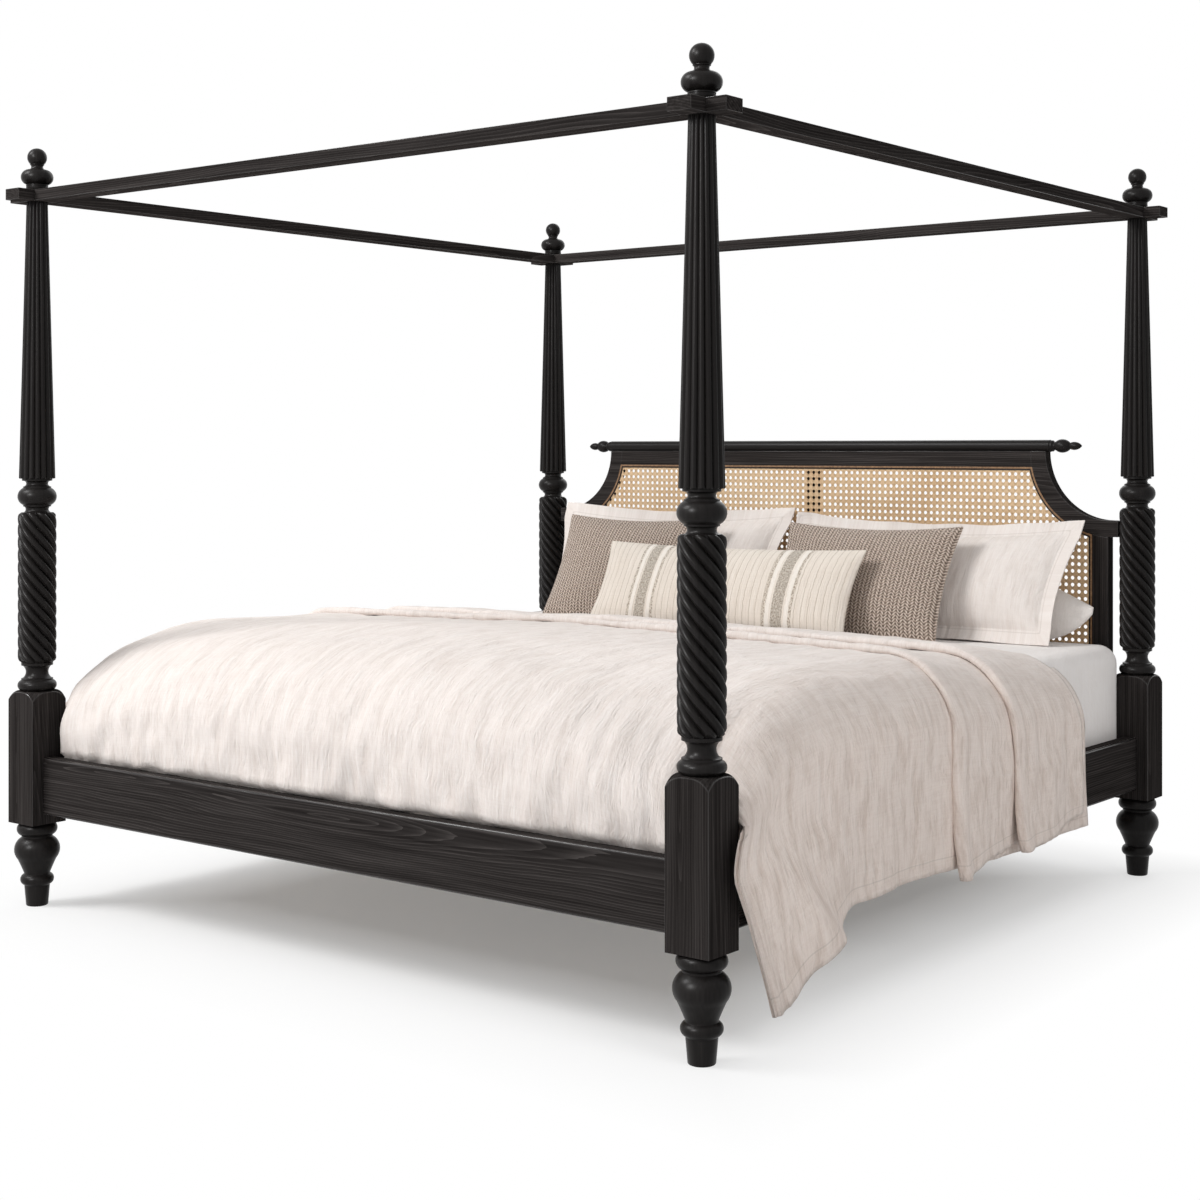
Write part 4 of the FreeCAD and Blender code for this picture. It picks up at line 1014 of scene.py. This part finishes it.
stuffing = {
    "cell": 0.0125, "wall": 0.004, "quality": 6, "mass": 0.25, "tension": 14.0, "shear": 4.0, "bending": 0.25,
    "pressure": 5.0, "frames": 20, "cap": 0.045, "backY": 1.058, "full": 0.36, "dent": 0.22, "gather": 0.35,
}


def makeCushion(name, size, seed):
    across = round(size["width"] / stuffing["cell"])
    upward = round(size["height"] / stuffing["cell"])
    bm = bmesh.new()
    bmesh.ops.create_grid(bm, x_segments=across, y_segments=upward, size=1.0)
    outX = bm.verts.layers.float.new("outX")
    outY = bm.verts.layers.float.new("outY")
    for vert in bm.verts:  # which way the edge faces, for the flange
        vert[outX] = math.copysign(1.0, vert.co.x) if abs(vert.co.x) > 0.999 else 0.0
        vert[outY] = math.copysign(1.0, vert.co.y) if abs(vert.co.y) > 0.999 else 0.0
    bmesh.ops.scale(bm, vec=(size["width"] / 2, size["height"] / 2, 1.0), verts=bm.verts)
    front = bm.faces[:]
    bmesh.ops.translate(bm, vec=(0, 0, stuffing["wall"] / 2), verts=bm.verts)
    pulled = bmesh.ops.extrude_face_region(bm, geom=front, use_keep_orig=True)["geom"]
    bmesh.ops.translate(bm, vec=(0, 0, -stuffing["wall"]), verts=onlyVerts(pulled))
    bmesh.ops.recalc_face_normals(bm, faces=bm.faces)
    addClothMap(bm, lambda vert: (vert.co.x, vert.co.y))
    wallTag = bm.faces.layers.int.new("wall")
    for face in bm.faces:
        face[wallTag] = int(abs(face.normal.z) < 0.5)
    full = size["depth"] * stuffing["full"]
    for vert in bm.verts:
        u = 2 * vert.co.x / size["width"]
        v = 2 * vert.co.y / size["height"]
        crown = (max(0.0, 1 - abs(u) ** size["round"]) * max(0.0, 1 - abs(v) ** size["round"])) ** 0.5
        gathers = ripple(vert.co.x * 38, seed, vert.co.z) * abs(v) ** 6
        gathers += ripple(seed, vert.co.y * 38, vert.co.z) * abs(u) ** 6
        dent = 1 + stuffing["dent"] * ripple(vert.co.x * 5, vert.co.y * 5, seed) + stuffing["gather"] * gathers
        vert.co.z += math.copysign(full * crown * dent, vert.co.z)
        vert.co.x *= 1 - size["ears"] * (1 - v * v) * abs(u) - size.get("taper", 0.0) * (1 - v) / 2
        vert.co.y -= size.get("droop", 0.0) * size["height"] * abs(u) ** 1.3 * (v + 1) / 2
        vert.co.y += size.get("pinch", 0.0) * size["height"] * abs(u) ** 4.6 * (1 - v) / 2
        vert.co.y -= size["sag"] * (1 - u * u) * max(0.0, v)  # the lower edge stays straight on the bed
    piece = makePiece(name + "_sewn", bm, size["material"])
    swell(piece, stuffing)
    low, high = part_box(name)
    lean = math.radians(size["lean"])
    upWay = Vector((0.0, math.sin(lean), math.cos(lean)))
    frontWay = Vector((0.0, -math.cos(lean), math.sin(lean)))
    centre = (low + high) / 2 + Vector((size.get("shift", 0.0), 0.0, 0.0))
    mesh = piece.data
    bm = bmesh.new()
    bm.from_mesh(mesh)
    hem = bm.verts.layers.float.new("hem")
    for vert in bm.verts:
        vert[hem] = 1.0
    if size["flange"]:
        addFlange(bm, size, seed)
    thick = max(abs(vert.co.z) for vert in bm.verts)
    squeeze = min(1.0, size["depth"] / 2 / thick)
    for vert in bm.verts:
        local = vert.co.copy()
        vert.co = centre + Vector((local.x, 0, 0)) + upWay * local.y + frontWay * (local.z * squeeze)
    lowest = min(vert.co.z for vert in bm.verts)
    furthest = max(vert.co.y for vert in bm.verts)
    forward = min(0.0, stuffing["backY"] - furthest)  # clear of the cane
    bmesh.ops.translate(bm, vec=(0, forward, low.z - lowest), verts=bm.verts)
    bmesh.ops.recalc_face_normals(bm, faces=bm.faces)
    bm.to_mesh(mesh)
    bm.free()
    mesh.shade_smooth()
    smooth = piece.modifiers.new("smooth", "SUBSURF")
    smooth.levels = smooth.render_levels = 1
    standFor(piece, name)


# the wall between front and back is drawn out into a flat flange with mitred corners
def addFlange(bm, size, seed):
    wallTag = bm.faces.layers.int["wall"]
    outX = bm.verts.layers.float["outX"]
    outY = bm.verts.layers.float["outY"]
    hem = bm.verts.layers.float["hem"]
    ring = [face for face in bm.faces if face[wallTag]]
    steps = 4
    for vert in {vert for face in ring for vert in face.verts}:
        vert[hem] = size["flange"]
    for step in range(1, steps + 1):
        pulled = bmesh.ops.extrude_face_region(bm, geom=ring)["geom"]
        moved = onlyVerts(pulled)
        bmesh.ops.delete(bm, geom=ring, context="FACES_ONLY")
        ring = [item for item in pulled if isinstance(item, bmesh.types.BMFace)]
        for vert in moved:
            vert[hem] = size["flange"] * (1 - step / steps)
            wave = 0.006 * ripple(vert.co.x * 8, vert.co.y * 8, seed + 3) * step / steps
            vert.co += Vector((vert[outX], vert[outY], 0.0)) * (size["flange"] / steps)
            vert.co.z += wave
    crease = bm.edges.layers.float.new("crease_edge")
    for edge in {edge for face in ring for edge in face.edges}:
        edge[crease] = 1.0


for order, (name, size) in enumerate(cushions.items()):
    makeCushion(name, size, 7.3 * order + 1.7)
print("cushions sewn")

# duvet: lengths in metres along the cloth, heights above the floor; it is folded back on itself towards the head
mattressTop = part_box("mattress")[1].z
railTop = 0.398
duvetCut = {
    "cell": 0.012, "thick": 0.009, "crown": 0.020, "edgeR": 0.19, "footR": 0.20, "outX": 1.126, "drop": 0.32,
    "footY": -1.053, "besidePost": -1.008, "tuckZ": 0.372, "curl": 0.0105, "curlRows": 10, "overRail": 0.019, "sink": 0.060,
    "rise": ((-1.0, 0.052), (-0.6, 0.080), (-0.2, 0.068), (0.2, 0.026), (0.56, 0.003)),
    "hemLeft": ((-1.0, 0.270), (0.0, 0.262), (0.6, 0.262)),
    "fold": 0.027, "flare": 0.012, "pleat": 0.045, "pleatY": -0.955, "bumps": 0.009, "nearPost": 0.4, "swingTo": 0.24,
    "swing": 0.045, "slant": 0.187, "postFrom": 0.062, "postOver": 0.03, "softFrom": 0.07, "cutFrom": 0.085,
}
duvetLayers = {
    "duvet_lower": {
        "front": None, "back": 0.575, "lift": 0.0,
        "hem": ((-1.0, 0.124), (-0.93, 0.134), (-0.58, 0.230), (-0.13, 0.228), (0.16, 0.214), (0.56, 0.216)),
    },
    "duvet_fold": {"front": -0.125, "back": 0.470, "lift": 0.018, "hem": ((-0.15, 0.205), (0.12, 0.238), (0.47, 0.250))},
    "duvet_top": {"front": 0.165, "back": 0.560, "lift": 0.035, "hem": ((0.15, 0.226), (0.30, 0.232), (0.56, 0.258))},
}
flatHalf = duvetCut["outX"] - duvetCut["edgeR"]
bendS = flatHalf + duvetCut["edgeR"] * math.pi / 2


def between(points, x):
    if x <= points[0][0]:
        return points[0][1]
    for (x0, z0), (x1, z1) in zip(points, points[1:]):
        if x <= x1:
            share = (x - x0) / (x1 - x0)
            share = share * share * (3 - 2 * share)
            return z0 + (z1 - z0) * share
    return points[-1][1]


# folds of the hanging side, shared by every layer
def sideFold(y, hang, right):
    waves = ripple(y * 3.4, 0.3, 1.3) + 0.5 * ripple(y * 8.0, hang * 1.2, 4.1)
    fold = duvetCut["fold"] * hang ** 0.8 * waves + duvetCut["flare"] * hang
    if right:
        off = y - (duvetCut["pleatY"] + 0.20 * hang)  # a pleat that runs back from the post
        fold += duvetCut["pleat"] * hang * math.exp(-(off / (0.10 if off < 0 else 0.045)) ** 2)
    return fold


# the corners at the foot sink under the weight of the cloth
def cornerSink(x, y):
    across = clamped((abs(x) - 0.50) / 0.50)
    along = clamped(1 - (y - duvetCut["footY"]) / 0.45)
    return duvetCut["sink"] * across ** 2 * along ** 1.5


def topBumps(s, y):
    return duvetCut["bumps"] * ripple(s * 2.2, y * 2.2, 6.5)


# one point of the duvet: its place, which way the cloth faces and how far down the side it hangs
def duvetPoint(s, y, hemLine):
    side = abs(s)
    sign = math.copysign(1.0, s)
    edgeR = duvetCut["edgeR"]
    top = mattressTop + between(duvetCut["rise"], y)
    if side < flatHalf:
        lift = duvetCut["crown"] * (1 - (side / flatHalf) ** 2) + topBumps(s, y)
        return Vector((s, y, top + lift)), Vector((0.0, 0.0, 1.0)), 0.0
    turn = min((side - flatHalf) / edgeR, math.pi / 2)
    way = Vector((sign * math.sin(turn), 0.0, math.cos(turn)))
    place = Vector((sign * (flatHalf + edgeR * math.sin(turn)), y, top - edgeR * (1 - math.cos(turn))))
    hang = max(0.0, (side - bendS) / duvetCut["drop"])
    near = max(0.0, 1 - (y - duvetCut["besidePost"]) / duvetCut["nearPost"]) if s > 0 else 0.0
    place += near * (turn / (math.pi / 2)) ** 3 * Vector((0.030, -0.035, 0.0))
    if hang > 0:
        hemZ = between(hemLine if s > 0 else duvetCut["hemLeft"], y)
        place.z += (hemZ - place.z) * hang
        place.x += sign * sideFold(y, hang, s > 0)
        swingTo = duvetCut["swingTo"]  # the corner swings out past the post's block, then slants back to its tip
        if hang > swingTo:
            swing = duvetCut["slant"] * (hang - swingTo) - duvetCut["swing"]
        else:
            swing = -duvetCut["swing"] * math.sin(math.pi / 2 * hang / swingTo)
        place.y += near * swing
        place.x += near * 0.006 * min(1.0, hang / 0.2)
    else:
        place.z += topBumps(s, y) * (1 - turn / (math.pi / 2))
    return place, way, hang


# the foot end: round over the edge, then down behind the foot rail
def footPoint(s, a, hemLine):
    footR = duvetCut["footR"]
    side = abs(s)
    outward = clamped((side - flatHalf - duvetCut["postFrom"]) / duvetCut["postOver"])
    start = duvetCut["footY"] + (duvetCut["besidePost"] - duvetCut["footY"]) * outward
    bend = footR * math.pi / 2
    if a < bend:
        turn = max(0.0, a) / footR
        y = start + footR * (1 - math.cos(turn))
        fall = footR * (1 - math.sin(turn)) - min(0.0, a)
    else:
        y = start + footR + a - bend
        fall = 0.0
    place, way, hang = duvetPoint(s, y, hemLine)
    softFrom = duvetCut["softFrom"]
    soft = clamped((side - flatHalf - softFrom) / (bendS - flatHalf - softFrom))
    place.z -= fall * (1 - soft) + min(fall, 0.05) * soft + cornerSink(s, y) * (1 - soft)
    if fall > 0 and soft < 1:
        height = clamped((place.z - duvetCut["tuckZ"]) / 0.30)
        clear = clamped((place.z - railTop) / 0.010) * (1 - outward)  # it drops behind the rail
        bulge = 0.006 * math.sin(math.pi * min(1.0, height * 1.1)) + 0.008 * ripple(s * 4.0, 2.0, 8.0)
        pucker = 0.014 * ripple(s * 9.0, place.z * 8.0, 2.2) * (1 - height) + 0.009 * ripple(s * 20.0, place.z * 14.0, 5.2)
        place.y -= (duvetCut["overRail"] + bulge + pucker) * (1 - soft) * min(1.0, fall / 0.06) * clear
        way = Vector((0.0, -min(1.0, fall / footR), 1 - min(1.0, fall / footR) * 0.8)).normalized() * (1 - soft) + way * soft
    return place, way, hang


def makeDuvetLayer(name, layer, seed):
    isLower = layer["front"] is None
    reach = bendS + duvetCut["drop"]
    footR = duvetCut["footR"]
    curl = duvetCut["curl"]
    footTop = mattressTop + duvetCut["rise"][0][1]
    if isLower:
        under = footTop - footR - duvetCut["tuckZ"]
        length = layer["back"] - duvetCut["footY"] - footR + footR * math.pi / 2
        firstRows = round(under / duvetCut["cell"])
    else:
        under = curl * math.pi + 0.02
        length = layer["back"] - layer["front"]
        firstRows = duvetCut["curlRows"]
    rows = firstRows + round(length / duvetCut["cell"])
    bm = bmesh.new()
    bmesh.ops.create_grid(bm, x_segments=round(2 * reach / duvetCut["cell"]), y_segments=rows, size=1.0)
    clothU, clothV, hem, drop = (bm.verts.layers.float.new(key) for key in ("clothU", "clothV", "hem", "drop"))
    for vert in bm.verts:
        s = vert.co.x * reach
        row = (vert.co.y + 1) / 2 * rows
        a = under * (row / firstRows - 1) if row < firstRows else length * (row - firstRows) / (rows - firstRows)
        if isLower:
            place, way, hang = footPoint(s, a, layer["hem"])
        else:
            front = layer["front"] + 0.018 * ripple(s * 1.6, seed, 0.0)
            turn = min(math.pi, max(0.0, -a) / curl)
            back = max(0.0, -a - math.pi * curl)
            puff = 1 + 0.40 * ripple(s * 26.0, 0.5, seed)
            y = front + max(0.0, a) - curl * puff * math.sin(turn) + back
            place, way, hang = duvetPoint(s, y, layer["hem"])
            place += way * (layer["lift"] * (1 - 0.6 * max(0.0, a) / length) - curl * (1 - math.cos(turn)))
            place += way * (0.022 * hang ** 3 * math.exp(-((y - front) / 0.05) ** 2))
        vert.co = place
        vert[clothU] = s
        vert[clothV] = a
        vert[hem] = (1 - hang) * duvetCut["drop"] if hang > 0 else 1.0
        vert[drop] = clamped((abs(s) - flatHalf) / 0.28)
    if isLower:
        spare = []
        for face in bm.faces:
            low = max(vert[clothV] for vert in face.verts) < 1e-6
            if low and max(abs(vert[clothU]) for vert in face.verts) > flatHalf + duvetCut["cutFrom"]:
                spare.append(face)
        bmesh.ops.delete(bm, geom=spare, context="FACES")
    bmesh.ops.recalc_face_normals(bm, faces=bm.faces)
    bm.normal_update()
    if sum(face.normal.z for face in bm.faces) < 0:
        bmesh.ops.reverse_faces(bm, faces=bm.faces)
        bm.normal_update()
    for vert in bm.verts:
        s, a = vert[clothU], vert[clothV]
        lengthwise = ripple(s * 13, a * 2.6, seed) + 0.7 * ripple(s * 29, a * 5.0, seed + 1)
        sideways = ripple(s * 2.6, a * 13, seed + 2) + 0.7 * ripple(s * 5.0, a * 29, seed + 3)
        vert.co += vert.normal * (0.0040 * lengthwise * (1 - vert[drop]) + 0.0065 * sideways * vert[drop])
    addClothMap(bm, lambda vert: (vert[clothU], vert[clothV]))
    piece = makePiece(name, bm, linen, sharp=180)
    wall = piece.modifiers.new("padding", "SOLIDIFY")
    wall.thickness = duvetCut["thick"]
    wall.offset = -1.0
    return piece


for order, (name, layer) in enumerate(duvetLayers.items()):
    piece = makeDuvetLayer(name, layer, 11.0 * order + 2.5)
    if name == "duvet_lower":
        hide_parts("duvet")
print("duvet laid")

# mattress in its fitted sheet
mattressSheet = {"radius": 0.055, "footCorner": 0.12, "spread": 1.027, "segments": 7, "cell": 0.03, "pucker": 0.0035}


def makeMattress():
    low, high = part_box("mattress")
    bm = barShape(low, high)
    bmesh.ops.scale(bm, vec=(mattressSheet["spread"], 1.0, 1.0), verts=bm.verts)
    for part in ("foot", "head", "rims"):
        radius = mattressSheet["footCorner" if part == "foot" else "radius"]
        edges = []
        for edge in bm.edges:
            first, second = (vert.co for vert in edge.verts)
            upright = abs(first.z - second.z) > 0.1
            end = "rims" if not upright else "foot" if first.y < 0 else "head"
            if end == part and not (upright and edge.calc_face_angle(0.0) < 1.0):
                edges.append(edge)
        bmesh.ops.bevel(
            bm, geom=edges, offset=radius, offset_type="OFFSET", segments=mattressSheet["segments"],
            profile=0.5, affect="EDGES", material=-1, clamp_overlap=True,
        )
    longEdges = [edge for edge in bm.edges if edge.calc_length() > 0.15]
    while longEdges:
        bmesh.ops.subdivide_edges(bm, edges=longEdges, cuts=1, use_grid_fill=True)
        longEdges = [edge for edge in bm.edges if edge.calc_length() > mattressSheet["cell"] * 1.6]
    bmesh.ops.recalc_face_normals(bm, faces=bm.faces)
    bm.normal_update()
    for vert in bm.verts:
        upright = 1 - abs(vert.normal.z)
        along = vert.co.x + vert.co.y
        fold = ripple(along * 16, vert.co.z * 2.2, 3.1) + 0.5 * ripple(along * 34, vert.co.z * 3.5, 8.8)
        vert.co += vert.normal * (mattressSheet["pucker"] * (fold * upright - upright * 0.6))
    for vert in bm.verts:  # pressed down under the duvet's corners
        vert.co.z -= 1.1 * cornerSink(vert.co.x, vert.co.y) * (vert.co.z - low.z) / (high.z - low.z)
    hem = bm.verts.layers.float.new("hem")
    for vert in bm.verts:
        vert[hem] = 1.0
    addClothMap(bm, lambda vert: (vert.co.x + vert.co.y * 0.35, vert.co.z + vert.co.y))
    piece = makePiece("mattress_in_sheet", bm, sheetCotton, sharp=180)
    standFor(piece, "mattress")


makeMattress()
print("mattress laid")

# floor, light and camera
studio = {
    "floor": 30.0, "floorTone": 0.86, "world": 0.42, "worldWay": (-0.30, -0.43, 0.15),
    # share of the floor's painted glow, by distance from the bed's middle
    "clear": ((0.70, 0.20), (1.00, 0.45), (1.15, 0.72), (1.45, 1.0)), "aim": (0.0, 0.0, 0.7),
    "key": {"place": (-3.8, -4.4, 5.7), "size": 2.4, "power": 390.0},
    "fill": {"place": (5.5, -1.8, 3.6), "size": 2.4, "power": 75.0},
    "front": {"place": (-0.4, -6.5, 3.6), "size": 1.6, "power": 400.0},
    "back": {"place": (-1.5, 5.5, 4.5), "size": 5.0, "power": 115.0},
}
view = {"place": (3.271, -4.201, 1.21), "turn": 38.09, "lens": 57.9, "shiftY": -0.125}


# rays that meet the plain white surround
def seenRays(tree):
    path = addNode(tree, "ShaderNodeLightPath")
    direct = mathNode(tree, "MAXIMUM", path.outputs["Is Camera Ray"], path.outputs["Is Glossy Ray"])
    return mathNode(tree, "MAXIMUM", direct, path.outputs["Is Transmission Ray"])


def makeFloor():
    bm = bmesh.new()
    bmesh.ops.create_grid(bm, x_segments=2, y_segments=2, size=studio["floor"])
    mesh = bpy.data.meshes.new("floor")
    bm.to_mesh(mesh)
    bm.free()
    floor = bpy.data.objects.new("floor", mesh)
    scene.collection.objects.link(floor)
    material, tree, shader = newMaterial("paleFloor", Roughness=0.9)
    tone = studio["floorTone"]
    setInputs(shader, Base_Color=(tone, tone, tone, 1.0), Specular_IOR_Level=0.0)
    coords = addNode(tree, "ShaderNodeTexCoord")
    apart = addNode(tree, "ShaderNodeSeparateXYZ")
    tree.links.new(coords.outputs["Object"], apart.inputs[0])
    reach = mathNode(tree, "MAXIMUM", *(mathNode(tree, "ABSOLUTE", apart.outputs[axis]) for axis in (0, 1)))
    stops = [(place / 2, (white, white, white)) for place, white in studio["clear"]]
    clear = rampNode(tree, mathNode(tree, "MULTIPLY", reach, 0.5), stops)
    share = mathNode(tree, "MULTIPLY", seenRays(tree), clear)
    # painted light: the floor glows for camera and glossy rays, fully far from the bed and partly near and under it,
    # which thins the bed's real shadow
    glow = addNode(tree, "ShaderNodeEmission")  # the floor clears to white away from the bed
    mixer = addNode(tree, "ShaderNodeMixShader")
    tree.links.new(share, mixer.inputs[0])
    tree.links.new(shader.outputs["BSDF"], mixer.inputs[1])
    tree.links.new(glow.outputs["Emission"], mixer.inputs[2])
    tree.links.new(mixer.outputs["Shader"], tree.nodes["Material Output"].inputs["Surface"])
    mesh.materials.append(material)


def makeLight(name, light):
    lamp = bpy.data.lights.new(name, "AREA")
    lamp.shape = "SQUARE"
    lamp.size = light["size"]
    lamp.energy = light["power"]
    holder = bpy.data.objects.new(name, lamp)
    holder.location = light["place"]
    aim = Vector(studio["aim"]) - holder.location
    holder.rotation_euler = aim.to_track_quat("-Z", "Y").to_euler()
    scene.collection.objects.link(holder)
    return holder


def makeWorld():
    world = bpy.data.worlds.new("studioWorld")
    world.use_nodes = True
    scene.world = world
    tree = world.node_tree
    background = tree.nodes["Background"]
    coords = addNode(tree, "ShaderNodeTexCoord")
    facing = addNode(tree, "ShaderNodeVectorMath", operation="DOT_PRODUCT")
    tree.links.new(coords.outputs["Generated"], facing.inputs[0])
    facing.inputs[1].default_value = studio["worldWay"]
    level = mathNode(tree, "MULTIPLY_ADD", facing.outputs["Value"], studio["world"], studio["world"])
    tree.links.new(mathNode(tree, "MAXIMUM", seenRays(tree), level), background.inputs["Strength"])
    setInputs(background, Color=(1.0, 1.0, 1.0, 1.0))


def makeCamera():
    data = bpy.data.cameras.new("photoView")
    data.lens = view["lens"]
    data.sensor_width = 36.0
    data.shift_y = view["shiftY"]
    camera = bpy.data.objects.new("photoView", data)
    camera.location = view["place"]
    camera.rotation_euler = (math.radians(90), 0.0, math.radians(view["turn"]))
    scene.collection.objects.link(camera)
    scene.camera = camera


# a flagged lamp lights only the pieces whose material is, or isn't, one of these
def flagLight(lamp, starts, wanted):
    lit = bpy.data.collections.new(lamp.name + "Lit")
    for piece in scene.objects:
        if piece.type == "MESH" and piece.data.materials[0].name.startswith(starts) == wanted:
            lit.objects.link(piece)
    lamp.light_linking.receiver_collection = lit


makeFloor()
makeLight("keyLight", studio["key"])
makeLight("backLight", studio["back"])
flagLight(makeLight("fillLight", studio["fill"]), ("blackWood", "turnedBlack"), False)
flagLight(makeLight("frontLight", studio["front"]), ("turnedBlack",), True)
makeWorld()
makeCamera()
scene.view_settings.view_transform = "Standard"
print("studio set")
